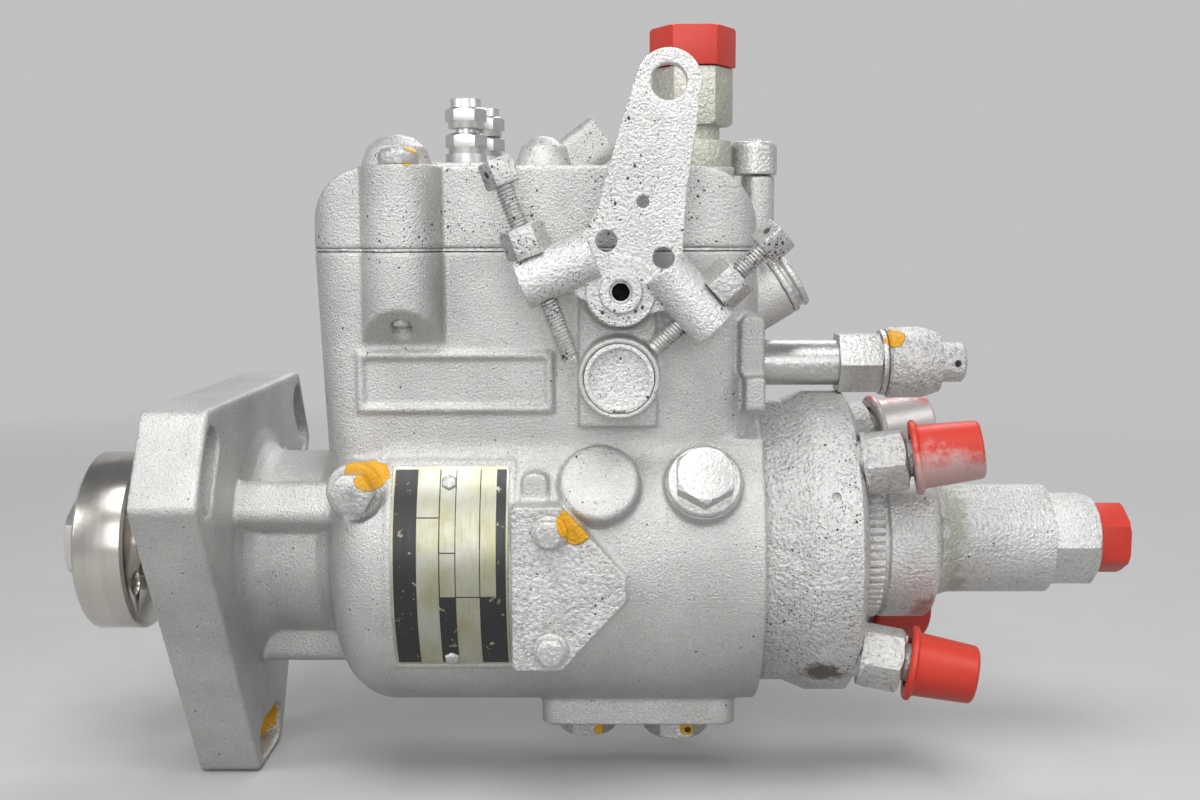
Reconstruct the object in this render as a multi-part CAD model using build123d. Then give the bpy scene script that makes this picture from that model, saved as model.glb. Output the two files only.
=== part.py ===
from build123d import *
import os
from math import cos, pi, radians, sin, sqrt, tan

# Rotary distributor injection pump, in millimetres. The origin is the centre of the flange's mounting
# face, +X runs from the drive hub to the inlet, -Y is the throttle lever's side and +Z is the governor
# cover's side. Angles about the drive axis are measured from -Y towards +Z.

# Fits between pieces
FIT = 0.05
GAP = 0.3
SEAT = 0.1

# Drive shaft, its bushes and seals
SHAFT_RADIUS = 11.0
BUSH_RADIUS = SHAFT_RADIUS + 2.0
SEAL_BORE_RADIUS = SHAFT_RADIUS + 5.0
SEAL_BORE_DEPTH = 22.0
SEAL_WIDTH = 8.0
SEAL_PLACES = (-4.0, 9.0)
KEY_WIDTH = 5.0

# Mounting flange, pilot and neck
FLANGE_THICKNESS = 16.0
EAR_ANGLES = (30, 150, -90)
EAR_REACH = 60.8
EAR_HALF_WIDTH = 12.4
SLOT_CENTRE_RADIUS = 54.0
SLOT_WIDTH = 10.5
SLOT_ARC = 12.5
PILOT_RADIUS = 25.0
PILOT_LENGTH = 6.0
RING_SECTION = 0.85
RING_X = -2.5
NECK_RADIUS = 24.0
NECK_FLARE = 6.0
RIB_RADIUS = 33.0
RIB_THICKNESS = 11.5

# Drive hub
HUB_RADIUS = 23.8
HUB_LENGTH = 13.3
HUB_BACK = -14.4
HUB_FRONT = HUB_BACK - HUB_LENGTH
HUB_BORE_RADIUS = SHAFT_RADIUS - 1.2
HUB_HOLE_RADIUS = 3.2
HUB_HOLE_PCD = 34.0
HUB_HOLES = 3
HUB_COLLAR_RADIUS = HUB_HOLE_PCD / 2 - HUB_HOLE_RADIUS - GAP
SHAFT_THREAD_RADIUS = 7.4
SHAFT_TIP = HUB_FRONT - 8.3
HUB_NUT_WIDTH = 20.0
HUB_NUT_HEIGHT = 7.0

# Cam, plungers and rollers
CAM_WIDTH = 15.0
CAM_OUTER = 33.2
CAM_MEAN_RADIUS = CAM_OUTER - 5.9
CAM_LIFT = 1.4
CAM_LOBES = 4
ROLLER_RADIUS = 4.5
ROLLER_LENGTH = 11.0
ROLLER_CENTRE = CAM_MEAN_RADIUS - CAM_LIFT / 2 - SEAT - ROLLER_RADIUS
PLUNGER_RADIUS = 3.6
PLUNGER_INNER = 2.2
PLUNGER_END = ROLLER_CENTRE - ROLLER_RADIUS - 4.1
SHOE_HALF_LENGTH = 6.0
SHOE_HALF_WIDTH = 5.4
ROTOR_HEAD_RADIUS = PLUNGER_END + 3.6
ROTOR_RADIUS = 9.5

# Body casting
BODY_START = 40.0
SLEEVE_FRONT = BODY_START + 12.0
SLEEVE_LENGTH = 27.7
SLEEVE_BACK = SLEEVE_FRONT + SLEEVE_LENGTH
CAGE_X = SLEEVE_BACK + 6.3
CAM_X = CAGE_X + 18.0
HEAD_START = CAM_X + 13.0
HEAD_DEPTH = 30.5
BODY_END = HEAD_START + HEAD_DEPTH
BODY_WALL = 8.7
CAM_BORE_RADIUS = CAM_OUTER + GAP
BODY_RADIUS = CAM_BORE_RADIUS + BODY_WALL
DOME_RADIUS = 14.0
CAM_BORE_START = BODY_START + 4.0
HEAD_WALL = 6.2
HEAD_BORE_RADIUS = BODY_RADIUS - HEAD_WALL
HEAD_RING_RADIUS = BODY_RADIUS - 2.2
HEAD_SMALL_RADIUS = BODY_RADIUS - 4.7

# Droop adjuster's height, which sets the heights of the linkage and the throttle
DROOP_TUBE_RADIUS = 6.0
DROOP_Z = HEAD_RING_RADIUS + DROOP_TUBE_RADIUS + 1.7
LINK_Z = DROOP_Z + 8.3
LINK_Y = 11.9

# Governor box
BOX_FRONT = BODY_START - 3.5
BOX_BACK = BODY_END - 1.0
BOX_LEAN = 3.0
BOX_HALF_WIDTH = 31.0
BOX_CORNER = 11.0
BOX_WALL = 6.0
BOX_RISE = 30.1
JOINT_HEIGHT = DROOP_Z + BOX_RISE
BLEND_RADIUS = 9.0
BLEND_Y = BOX_HALF_WIDTH + BLEND_RADIUS
BLEND_Z = sqrt((BODY_RADIUS + BLEND_RADIUS) ** 2 - BLEND_Y ** 2)
BLEND_REACH = BODY_RADIUS / (BODY_RADIUS + BLEND_RADIUS)
CHAMBER_FLOOR = CAM_BORE_RADIUS - 4.5
GASKET_THICKNESS = 0.6

# Governor cover and its screws
COVER_START = JOINT_HEIGHT + GASKET_THICKNESS
COVER_HEIGHT = 19.8
COVER_TOP = COVER_START + COVER_HEIGHT
COVER_END_RADIUS = 16.0
COVER_WALL = 5.0
COVER_CEILING = COVER_TOP - COVER_WALL
SCREW_BOSS_RADIUS = 9.9
SCREW_BOSS_INSET = 1.4
SCREW_BOSS_FOOT = JOINT_HEIGHT - 22.3
COVER_SCREW_RADIUS = 2.4
COVER_SCREW_OFFSET = 3.2
COVER_SCREW_PLACES = ((BOX_FRONT + 23.2, -1), (BOX_FRONT + 23.2, 1), (BOX_BACK - 25.5, 1))

# Terminals and return fitting on the cover
TERMINAL_RADIUS = 2.75
TERMINAL_PLACES = ((BOX_FRONT + 35.8, 0.0, 18.2, 11.8), (BOX_FRONT + 39.3, 15.0, 14.4, 10.7))
TERMINAL_NUT_WIDTH = 9.4
TERMINAL_NUT_HEIGHT = 3.6
TERMINAL_COLLAR_RADIUS = 4.0
BUSH_HOLE_RADIUS = TERMINAL_RADIUS + 1.2
RETURN_X = BOX_BACK - 15.1
RETURN_THREAD_RADIUS = 6.0
RETURN_HEX = 18.2
RETURN_HEX_START = COVER_TOP + 11.3
RETURN_HEX_HEIGHT = 14.6
RETURN_STUB_RADIUS = 7.0
RETURN_BORE_RADIUS = 3.0
RETURN_CAP_WIDTH = 19.4
RETURN_CAP_HEIGHT = 9.9

# Seal column and sloping plug at the back of the box
SEAL_X = BOX_BACK + 1.5
SEAL_Y = 5.0
SEAL_RADIUS = 5.6
SEAL_TOP = COVER_TOP - 1.2
SIDE_PLUG_POINT = (BOX_BACK - 6.5, -13.0, JOINT_HEIGHT - 17.6)
SIDE_PLUG_OUT = (0.855, 0.0, 0.518)
SIDE_PLUG_RADIUS = 7.4
SIDE_PLUG_LENGTH = 15.5
SIDE_PLUG_THREAD = 5.0

# Throttle shaft, lever and the round boss below it
PIVOT_X = HEAD_START - 4.7
PIVOT_Z = DROOP_Z + 20.7
LEVER_PLANE = BOX_HALF_WIDTH + 13.0
LEVER_THICKNESS = 4.6
THROTTLE_SHAFT_RADIUS = 4.0
THROTTLE_BOSS_RADIUS = 8.8
LEVER_HUB_RADIUS = 8.0
SHAFT_HOLE_RADIUS = 2.1
EYE_X = PIVOT_X + 11.0
EYE_Z = PIVOT_Z + 47.6
EYE_HOLE_RADIUS = 4.2
EYE_RADIUS = 7.6
ARM_RADIUS = 6.1
ROUND_BOSS_X = PIVOT_X - 0.4
ROUND_BOSS_Z = PIVOT_Z - 20.3
ROUND_BOSS_RADIUS = 9.7
ROUND_BOSS_FACE = LEVER_PLANE + 1.5
BOSS_BORE_RADIUS = 8.3
BOSS_BORE_DEPTH = 5.0
PAD_FOOT = PIVOT_Z - 32.9
PAD_DEPTH = BOX_HALF_WIDTH + 6.6

# Stop screws: tip, direction from tip to head, ends of the arm that holds it, and length
STOP_SCREW_RADIUS = 2.4
STOP_NUT_WIDTH = 9.5
STOP_NUT_HEIGHT = 6.5
STOP_HEAD_WIDTH = 6.6
STOP_HEAD_HEIGHT = 6.4
STOP_HEAD_TURN = 30.0
WIRE_HOLE_RADIUS = 0.9
LEFT_TIP = (PIVOT_X - 11.6, PIVOT_Z - 15.8)
LEFT_OUT = (-0.355, 0.935)
LEFT_ARM = ((PIVOT_X - 23.1, PIVOT_Z + 1.7), (PIVOT_X - 6.3, PIVOT_Z + 8.4))
LEFT_LENGTH = 43.0
RIGHT_TIP = (PIVOT_X + 7.6, PIVOT_Z - 13.4)
RIGHT_OUT = (0.741, 0.671)
RIGHT_ARM = ((PIVOT_X + 22.0, PIVOT_Z - 8.6), (PIVOT_X + 9.5, PIVOT_Z + 5.2))
RIGHT_LENGTH = 34.0

# Nameplate
PLATE_START = BODY_START + 17.0
PLATE_LENGTH = 28.2
PLATE_TOP = BLEND_Z * BLEND_REACH - 0.7
PLATE_BOTTOM = -23.5
PLATE_THICKNESS = 0.5
PLATE_BORDER = 1.1
PLATE_BORDER_HEIGHT = 0.55

# Timing cover, drawn from its left edge
TIMING_X = PLATE_START + PLATE_LENGTH + 0.9
TIMING_OUTLINE = ((0.0, 17.7), (12.0, 17.7), (27.5, 1.0), (27.5, -5.4), (12.0, -22.4), (0.0, -22.4))
TIMING_FACE = BODY_RADIUS + 0.6
TIMING_PLATE = 2.6
TIMING_SCREWS = ((9.2, 11.6), (9.4, -17.0))
TIMING_SCREW_RADIUS = 2.5
TIMING_CORNER = 1.5

# Bosses and screws round the barrel
PLAIN_BOSS_X = HEAD_START - 9.9
PLAIN_BOSS_RADIUS = 8.9
PLAIN_BOSS_TOP = BODY_RADIUS + 3.8
LOCK_X = HEAD_START + 15.3
LOCK_ANGLES = (30, 150)
LOCK_FACE = BODY_RADIUS + 3.0
LOCATING_X = HEAD_START + 10.6
CAM_SCREW_X = CAM_X - 0.5
PAD_FACE = BODY_RADIUS + 5.0
BIG_SCREW_RADIUS = 5.0

# Hydraulic head, discharge fittings and their caps
HEAD_FACE = BODY_END + 27.0
FITTING_ANGLES = (45, 135, -135, -45)
FITTING_CIRCLE = HEAD_SMALL_RADIUS - 3.0
FITTING_TILT = 12.5
FITTING_HEX = 14.3
FITTING_THREAD_RADIUS = 6.0
FITTING_LENGTH = 25.5
DELIVERY_BORE_RADIUS = 1.5
CAP_SEAT = 12.0
CAP_LENGTH = 17.0
CAP_WALL = 1.6
METERING_X = HEAD_START + 11.0
METERING_RADIUS = 4.0
VALVE_TURN = 8.6

# End cap and inlet
CAP_RIM_START = HEAD_FACE + 1.5
CAP_RIM_END = CAP_RIM_START + 4.2
CAP_RIM_RADIUS = 21.0
CAP_TEETH = 60
CAP_TOOTH_DEPTH = 0.8
CAP_BODY_LENGTH = 14.1
CAP_BODY_END = CAP_RIM_END + CAP_BODY_LENGTH
CAP_NOSE_START = CAP_BODY_END + 5.7
CAP_NOSE_RADIUS = 14.4
CAP_NOSE_LENGTH = 26.0
CAP_NOSE_END = CAP_NOSE_START + CAP_NOSE_LENGTH
INLET_HEX = 22.2
INLET_HEX_END = CAP_NOSE_END + 13.0
INLET_BORE_RADIUS = 6.5
INLET_NECK_RADIUS = 9.0
INLET_NECK_LENGTH = 19.5
PLUG_END = INLET_HEX_END + 8.5
REGULATOR_RADIUS = 8.0
REGULATOR_START = CAP_RIM_START + 6.0
REGULATOR_LENGTH = 10.0

# Transfer pump inside the head's back
LINER_RADIUS = 17.5
LINER_BORE_RADIUS = 12.0
LINER_OFFSET = 1.6
LINER_START = CAP_RIM_START - 11.0
LINER_END = CAP_RIM_START - 2.4
BLADE_THICKNESS = 1.6

# Droop adjuster
DROOP_TUBE_END = BOX_BACK + 27.2
DROOP_NUT_HEX = 15.0
DROOP_NUT_START = DROOP_TUBE_END - 3.7
DROOP_NUT_END = DROOP_TUBE_END + 7.6
DROOP_KNOB_START = DROOP_NUT_END + 1.5
DROOP_KNOB_END = DROOP_KNOB_START + 14.1
DROOP_KNOB_RADIUS = 9.4
DROOP_STUB_END = DROOP_KNOB_END + 6.9
DROOP_STUB_RADIUS = 5.3
DROOP_SCREW_RADIUS = 2.5
DROOP_SCREW_START = BOX_BACK - 3.5

# Governor weights, sleeve, arm and spring
SLEEVE_TUBE_RADIUS = SHAFT_RADIUS + 2.4
SLEEVE_RADIUS = SLEEVE_TUBE_RADIUS + 1.6
CAGE_THICKNESS = 6.0
CAGE_RADIUS = CAM_BORE_RADIUS - 2.5
CAGE_BORE_RADIUS = SHAFT_RADIUS + 1.6
CAGE_FINGER_LENGTH = 17.0
WEIGHT_ANGLES = (0, 90, 180, 270)
WEIGHT_HALF_WIDTH = 9.5
WEIGHT_PIVOT_RADIUS = 24.0
WEIGHT_RIDGE_RADIUS = 1.5
SHAFT_END = CAGE_X - 4.0
TANG_WIDTH = 6.0
TANG_LENGTH = 9.0
ARM_PIVOT_X = BODY_START + 7.7
ARM_PIVOT_Z = 19.9
ARM_HUB_RADIUS = 4.4
PIVOT_PIN_RADIUS = 3.0
PIVOT_NUT_FACE = 37.0
PIVOT_NUT_WIDTH = 9.4
SPRING_START = BOX_FRONT + 19.5
FORK_FRONT = PIVOT_X - 7.0
SPRING_LENGTH = FORK_FRONT - 4.3 - SPRING_START
SPRING_RADIUS = 4.2
SPRING_WIRE_RADIUS = 0.6
SPRING_PITCH = 3.4
GUIDE_RADIUS = 2.2

# Electric shut-off under the cover
SHUTOFF_X = BOX_FRONT + 58.5
SHUTOFF_Z = COVER_TOP - 12.2
COIL_Z = COVER_TOP - 14.0
COIL_Y = -6.0
COIL_RADIUS = 8.6

BASE = (Align.CENTER, Align.CENTER, Align.MIN)


def spoke(angle, radius=1.0, x=0.0):
    # The point at this radius and angle about the drive axis
    return Vector(x, -radius * cos(radians(angle)), radius * sin(radians(angle)))


def rod(start, end, radius):
    # A round bar from one point to another
    run = Vector(*end) - Vector(*start)
    return Plane(origin=start, z_dir=run) * Cylinder(radius, run.length, align=BASE)


def shaft(x0, x1, radius, y=0.0, z=0.0):
    return rod((x0, y, z), (x1, y, z), radius)


def tube(x0, x1, outer, inner, y=0.0, z=0.0):
    return shaft(x0, x1, outer, y, z) - shaft(x0, x1, inner, y, z)


def block(x0, x1, y0, y1, z0, z1):
    place = Pos((x0 + x1) / 2, (y0 + y1) / 2, (z0 + z1) / 2)
    return place * Box(x1 - x0, y1 - y0, z1 - z0)


def spun(outline, point=(0, 0, 0), out=(1, 0, 0)):
    # A turned piece: the outline is (radius, distance along its axis)
    turned = revolve(Plane.XZ * Polygon(*outline, align=None), Axis.Z)
    return Plane(origin=point, z_dir=out) * turned


def hex_bar(point, out, width, length, turn=0.0):
    plane = Plane(origin=point, z_dir=out)
    return extrude(plane * Rot(0, 0, turn) * RegularPolygon(width / 2, 6, major_radius=False), amount=length)


def hex_nut(point, out, width, length, turn=0.0, chamfer=0.8):
    # A hexagon with the turned chamfer on its outer face
    corner = width / sqrt(3)
    cone = spun(((0, 0), (corner + 1, 0), (corner + 1, length - chamfer - 0.5),
                 (corner - chamfer * 1.4, length), (0, length)), point, out)
    return hex_bar(point, out, width, length, turn) & cone


def side_sketch(points, y0, y1):
    # A plate drawn in X and Z and running from y0 to y1
    outline = Plane.XZ * Polygon(*points, align=None)
    return extrude(Pos(0, y0, 0) * outline, amount=y1 - y0, dir=(0, 1, 0))


def end_sketch(face, x0, x1):
    # A face drawn in Y and Z and running from x0 to x1
    return extrude(Pos(x0, 0, 0) * (Plane.YZ * face), amount=x1 - x0, dir=(1, 0, 0))


def washer_screw(point, out, hex_width, washer_radius, shank, depth, height=5.0):
    # A screw whose hexagon stands on its own round flange
    lip = washer_radius - 0.5
    screw = spun(((0, 0), (washer_radius, 0), (washer_radius, 1.0), (lip, 1.5), (0, 1.5)), point, out)
    start = Vector(*point)
    line = Vector(*out).normalized()
    screw += hex_nut(start + line * 1.2, line, hex_width, height)
    return screw + rod(start + line * 0.5, start - line * depth, shank)


def spring(radius, wire_radius, pitch, length, x, z):
    helix = Helix(pitch=pitch, height=length, radius=radius)
    start = helix ^ 0
    wire = sweep(Plane(origin=start.position, z_dir=helix % 0) * Circle(wire_radius), path=helix)
    return Pos(x, 0, z) * Rot(0, 90, 0) * wire


def flange_plate():
    corners = []
    for angle in (-90, 30, 150):
        for side in (-1, 1):
            tangent = spoke(angle + 90)
            point = spoke(angle, EAR_REACH) + tangent * EAR_HALF_WIDTH * side
            corners.append((point.Y, point.Z))
    plate = end_sketch(Polygon(*corners, align=None), 0, FLANGE_THICKNESS)
    plate = fillet(plate.edges().filter_by(Axis.X), 3.0)
    return chamfer(plate.edges().group_by(Axis.X)[-1], 0.8)


def flange_slots():
    slots = []
    for angle in EAR_ANGLES:
        start = 180 - angle - SLOT_ARC / 2
        curve = CenterArc((0, 0), SLOT_CENTRE_RADIUS, start, SLOT_ARC)
        slots.append(end_sketch(SlotArc(curve, SLOT_WIDTH), -1, FLANGE_THICKNESS + 1))
    return slots


def neck_and_ribs():
    # The neck flares into the flange and into the body, and carries a rib towards each ear
    start = FLANGE_THICKNESS - 2
    flare = FLANGE_THICKNESS + NECK_FLARE
    neck = spun(((0, start), (NECK_RADIUS + NECK_FLARE, start), (NECK_RADIUS + NECK_FLARE, FLANGE_THICKNESS),
                 (NECK_RADIUS + NECK_FLARE * 0.42, FLANGE_THICKNESS + NECK_FLARE * 0.25),
                 (NECK_RADIUS + NECK_FLARE * 0.12, FLANGE_THICKNESS + NECK_FLARE * 0.6),
                 (NECK_RADIUS, flare), (NECK_RADIUS, BODY_START - 5), (NECK_RADIUS + 1.6, BODY_START - 1.6),
                 (NECK_RADIUS + 5, BODY_START + 1), (NECK_RADIUS + 5, BODY_START + 4), (0, BODY_START + 4)))
    half = RIB_THICKNESS / 2
    for angle in EAR_ANGLES:
        rib = block(FLANGE_THICKNESS / 2, BODY_START + 5, 8, RIB_RADIUS, -half, half)
        rib = fillet(rib.edges().filter_by(Axis.X).group_by(Axis.Y)[-1], 3.0)
        neck += Rot(180 - angle, 0, 0) * rib
    return neck


def body_barrel():
    outline = Polygon((BODY_START, 0), (BODY_START, BODY_RADIUS), (BODY_END, BODY_RADIUS), (BODY_END, 0), align=None)
    corner = outline.vertices().sort_by(Axis.X)[0:2].sort_by(Axis.Y)[-1]
    return revolve(fillet(corner, DOME_RADIUS), Axis.X)


def box_section(front, height):
    length = BOX_BACK - front
    section = RectangleRounded(length, 2 * BOX_HALF_WIDTH, BOX_CORNER)
    return Pos((front + BOX_BACK) / 2, 0, height) * section


def governor_box():
    low = box_section(BOX_FRONT + BOX_LEAN, 8)
    high = box_section(BOX_FRONT, JOINT_HEIGHT)
    return loft([low, high])


def blend_strip(side):
    # The concave strip that joins the flat side of the box to the barrel
    touch_y = BLEND_Y * BLEND_REACH
    touch_z = BLEND_Z * BLEND_REACH
    inside = BOX_HALF_WIDTH - 6
    patch = Polygon((inside, BLEND_Z), (BOX_HALF_WIDTH, BLEND_Z), (touch_y, touch_z), (inside, touch_z - 6),
                    align=None)
    patch += Polygon((BOX_HALF_WIDTH, BLEND_Z), (BLEND_Y, BLEND_Z), (touch_y, touch_z), align=None)
    patch -= Pos(BLEND_Y, BLEND_Z) * Circle(BLEND_RADIUS)
    strip = end_sketch(patch, BODY_START + DOME_RADIUS, BODY_END)
    return strip if side > 0 else mirror(strip, Plane.XZ)


def end_rim():
    # The thick edge at the back of the box, and the small machined tab below it on the lever's side
    reach = BOX_HALF_WIDTH + 0.6
    rim = block(BOX_BACK - 5.1, BODY_END, -reach, reach, LINK_Z - 9.4, LINK_Z + 6.0)
    rim = fillet(rim.edges().filter_by(Axis.Y), 2.0)
    tab = block(BOX_BACK - 3.9, BODY_END, -reach - 2.4, -reach + 4, LINK_Z - 17, LINK_Z - 8.8)
    return [rim, tab]


def screw_bosses(z0, z1):
    bosses = []
    for x, side in COVER_SCREW_PLACES:
        y = side * (BOX_HALF_WIDTH - SCREW_BOSS_INSET)
        bosses.append(rod((x, y, z0), (x, y, z1), SCREW_BOSS_RADIUS))
    return bosses


def screw_boss_cuts():
    # The sloping lower ends of the screw bosses
    cuts = []
    for x, side in COVER_SCREW_PLACES:
        slope = Plane(origin=(x, BOX_HALF_WIDTH, SCREW_BOSS_FOOT), z_dir=(0, 1, -1))
        half = slope * Box(50, 50, 40, align=BASE)
        cuts.append(half if side > 0 else mirror(half, Plane.XZ))
    return cuts


def screw_holes(radius):
    holes = []
    for x, side in COVER_SCREW_PLACES:
        y = side * (BOX_HALF_WIDTH + COVER_SCREW_OFFSET)
        holes.append(rod((x, y, SCREW_BOSS_FOOT - 5), (x, y, COVER_TOP + 5), radius))
    return holes


def bare_frame():
    # A raised border on the near side of the box with nothing in it
    left, right = BODY_START + 8.2, BODY_START + 55.8
    bottom, top = LINK_Z - 17.3, LINK_Z - 2.7
    band = 1.4
    outer = block(left, right, -BOX_HALF_WIDTH - 1.1, -BOX_HALF_WIDTH + 1, bottom, top)
    return outer - block(left + band, right - band, -BOX_HALF_WIDTH - 2, -BOX_HALF_WIDTH, bottom + band, top - band)


def throttle_pad():
    wide = ROUND_BOSS_RADIUS - 0.3
    left, right = PIVOT_X - 0.6 - wide, PIVOT_X - 0.6 + wide
    pad = side_sketch(((left, PAD_FOOT), (right, PAD_FOOT), (right, PIVOT_Z), (left, PIVOT_Z)), -PAD_DEPTH, -20)
    pad += rod((ROUND_BOSS_X, -20, ROUND_BOSS_Z), (ROUND_BOSS_X, -ROUND_BOSS_FACE, ROUND_BOSS_Z), ROUND_BOSS_RADIUS)
    return pad + rod((PIVOT_X, -20, PIVOT_Z), (PIVOT_X, -LEVER_PLANE + 3.1, PIVOT_Z), THROTTLE_BOSS_RADIUS)


def timing_outline(y0, y1):
    plate = side_sketch([(TIMING_X + x, z) for x, z in TIMING_OUTLINE], y0, y1)
    return fillet(plate.edges().filter_by(Axis.Y), TIMING_CORNER)


def timing_pad():
    # The pad under the timing cover and the small lug above it
    lug = block(TIMING_X + 2.4, TIMING_X + 8.6, -BODY_RADIUS + 3.6, -30, 15, 24.6)
    return timing_outline(-TIMING_FACE, -30) + fillet(lug.edges().filter_by(Axis.Y).group_by(Axis.Z)[-1], 2.4)


def timing_window():
    window = block(TIMING_X + 3.4, TIMING_X + 18.4, -TIMING_FACE - 1, -25, -9.5, 5.5)
    return fillet(window.edges().filter_by(Axis.Y), 3.0)


def plate_border():
    # A low raised edge round the nameplate
    face = (PLATE_TOP + PLATE_BOTTOM) / 2
    middle = PLATE_START + PLATE_LENGTH / 2
    length = PLATE_LENGTH + 0.6
    height = PLATE_TOP - PLATE_BOTTOM + 0.6
    outline = Rectangle(length + 2 * PLATE_BORDER, height + 2 * PLATE_BORDER) - Rectangle(length, height)
    band = extrude(Pos(middle, 0, face) * (Plane.XZ * outline), amount=60)
    half = length / 2 + PLATE_BORDER + 1
    return band & tube(middle - half, middle + half, BODY_RADIUS + PLATE_BORDER_HEIGHT, BODY_RADIUS - 2)


def radial_bosses():
    bosses = []
    for angle in LOCK_ANGLES:
        foot = PLAIN_BOSS_RADIUS + 1.2
        rise = PLAIN_BOSS_TOP - 32
        outline = ((0, 0), (foot, 0), (foot, BODY_RADIUS - 32), (foot - 0.4, rise - 0.8),
                   (PLAIN_BOSS_RADIUS, rise), (0, rise))
        bosses.append(spun(outline, spoke(angle, 32, PLAIN_BOSS_X), spoke(angle)))
        rise = LOCK_FACE - 36
        outline = ((0, 0), (9.8, 0), (9.4, rise), (0, rise))
        bosses.append(spun(outline, spoke(angle, 36, LOCK_X), spoke(angle)))
    return bosses


def bottom_pad():
    pad = block(CAM_SCREW_X - 11.9, LOCATING_X + 15.1, -15, 15, -PAD_FACE, -BODY_RADIUS + 6)
    return fillet(pad.edges().filter_by(Axis.Z), 4.0)


def pivot_bosses():
    bosses = []
    for side in (-1, 1):
        start = (ARM_PIVOT_X, side * 28, ARM_PIVOT_Z)
        bosses.append(rod(start, (ARM_PIVOT_X, side * PIVOT_NUT_FACE, ARM_PIVOT_Z), 7.0))
    return bosses


def back_bosses():
    foot = DROOP_Z + DROOP_TUBE_RADIUS + 4.3
    column = rod((SEAL_X, SEAL_Y, foot), (SEAL_X, SEAL_Y, SEAL_TOP), SEAL_RADIUS)
    column += block(SEAL_X - 6, SEAL_X, SEAL_Y - SEAL_RADIUS, SEAL_Y + SEAL_RADIUS, foot, JOINT_HEIGHT - 0.2)
    start = Vector(*SIDE_PLUG_POINT)
    tilted = rod(start, start + Vector(*SIDE_PLUG_OUT) * SIDE_PLUG_LENGTH, SIDE_PLUG_RADIUS)
    droop = shaft(BOX_BACK - 8, BOX_BACK + 3.0, 9.5, 0, DROOP_Z)
    return [column, tilted, droop]


def pump_housing():
    shell = flange_plate() + shaft(-PILOT_LENGTH, 2, PILOT_RADIUS) + neck_and_ribs()
    shell += body_barrel()
    shell += governor_box()
    shell += [blend_strip(-1), blend_strip(1)]
    bosses = None
    for boss in screw_bosses(SCREW_BOSS_FOOT - 13, JOINT_HEIGHT):
        bosses = boss if bosses is None else bosses + boss
    shell += bosses - screw_boss_cuts()
    shell += end_rim()
    shell += bare_frame()
    shell += throttle_pad()
    shell += timing_pad()
    shell += plate_border()
    shell += radial_bosses()
    shell += bottom_pad()
    shell += pivot_bosses()
    shell += back_bosses()
    shell -= block(0, BOX_BACK - 0.01, -80, 80, JOINT_HEIGHT, COVER_TOP)
    return shell - bores() - housing_holes()


def bores():
    # The bores along the drive axis, the governor chamber and the openings into them
    cuts = flange_slots()
    cuts.append(shaft(-PILOT_LENGTH - 1, CAM_BORE_START + 10, BUSH_RADIUS))
    cuts.append(shaft(-PILOT_LENGTH - 1, SEAL_BORE_DEPTH, SEAL_BORE_RADIUS))
    groove = RING_SECTION * 1.3
    cuts.append(tube(RING_X - groove, RING_X + groove, PILOT_RADIUS + 1, PILOT_RADIUS - 2 * RING_SECTION - 0.1))
    cuts.append(shaft(CAM_BORE_START, HEAD_START + 1, CAM_BORE_RADIUS))
    cuts.append(shaft(HEAD_START, BODY_END + 1, HEAD_BORE_RADIUS))
    cuts.append(block(ARM_PIVOT_X - 5.5, CAM_BORE_START + 1, -18, 18, ARM_PIVOT_Z - 7.9, JOINT_HEIGHT - 10))
    inner = BOX_HALF_WIDTH - BOX_WALL
    chamber = block(CAM_BORE_START, BOX_BACK - BOX_WALL, -inner, inner, CHAMBER_FLOOR, JOINT_HEIGHT + 1)
    cuts.append(fillet(chamber.edges().filter_by(Axis.Z), 5.0))
    cuts.append(timing_window())
    return cuts


def housing_holes():
    cuts = screw_holes(COVER_SCREW_RADIUS + FIT)
    inner = BOX_HALF_WIDTH - 2
    cuts.append(rod((PIVOT_X, -60, PIVOT_Z), (PIVOT_X, inner, PIVOT_Z), THROTTLE_SHAFT_RADIUS + FIT))
    floor = -ROUND_BOSS_FACE + BOSS_BORE_DEPTH
    cuts.append(rod((ROUND_BOSS_X, -60, ROUND_BOSS_Z), (ROUND_BOSS_X, floor, ROUND_BOSS_Z), BOSS_BORE_RADIUS))
    cuts.append(rod((ARM_PIVOT_X, -50, ARM_PIVOT_Z), (ARM_PIVOT_X, 50, ARM_PIVOT_Z), PIVOT_PIN_RADIUS + FIT))
    for side in (-1, 1):
        face = side * PIVOT_NUT_FACE
        cuts.append(rod((ARM_PIVOT_X, face, ARM_PIVOT_Z), (ARM_PIVOT_X, face + side * 9, ARM_PIVOT_Z), 7.2))
    for x, z in timing_screw_places():
        cuts.append(rod((x, -TIMING_FACE - 1, z), (x, -TIMING_FACE + 7, z), TIMING_SCREW_RADIUS + FIT))
    for angle in LOCK_ANGLES:
        cuts.append(rod(spoke(angle, 30, LOCK_X), spoke(angle, 60, LOCK_X), BIG_SCREW_RADIUS + FIT))
    for x in (LOCATING_X, CAM_SCREW_X):
        cuts.append(rod((x, 0, -30), (x, 0, -60), BIG_SCREW_RADIUS + FIT))
    cuts.append(shaft(BOX_BACK - 12, BOX_BACK + 6, DROOP_TUBE_RADIUS + FIT, 0, DROOP_Z))
    cuts.append(rod((SEAL_X, SEAL_Y, SEAL_TOP - 11), (SEAL_X, SEAL_Y, SEAL_TOP + 2), 3.4))
    out = Vector(*SIDE_PLUG_OUT)
    end = Vector(*SIDE_PLUG_POINT) + out * SIDE_PLUG_LENGTH
    cuts.append(rod(end - out * 8, end + out, SIDE_PLUG_THREAD + FIT))
    return cuts


def timing_screw_places():
    return [(TIMING_X + x, z) for x, z in TIMING_SCREWS]


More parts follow.
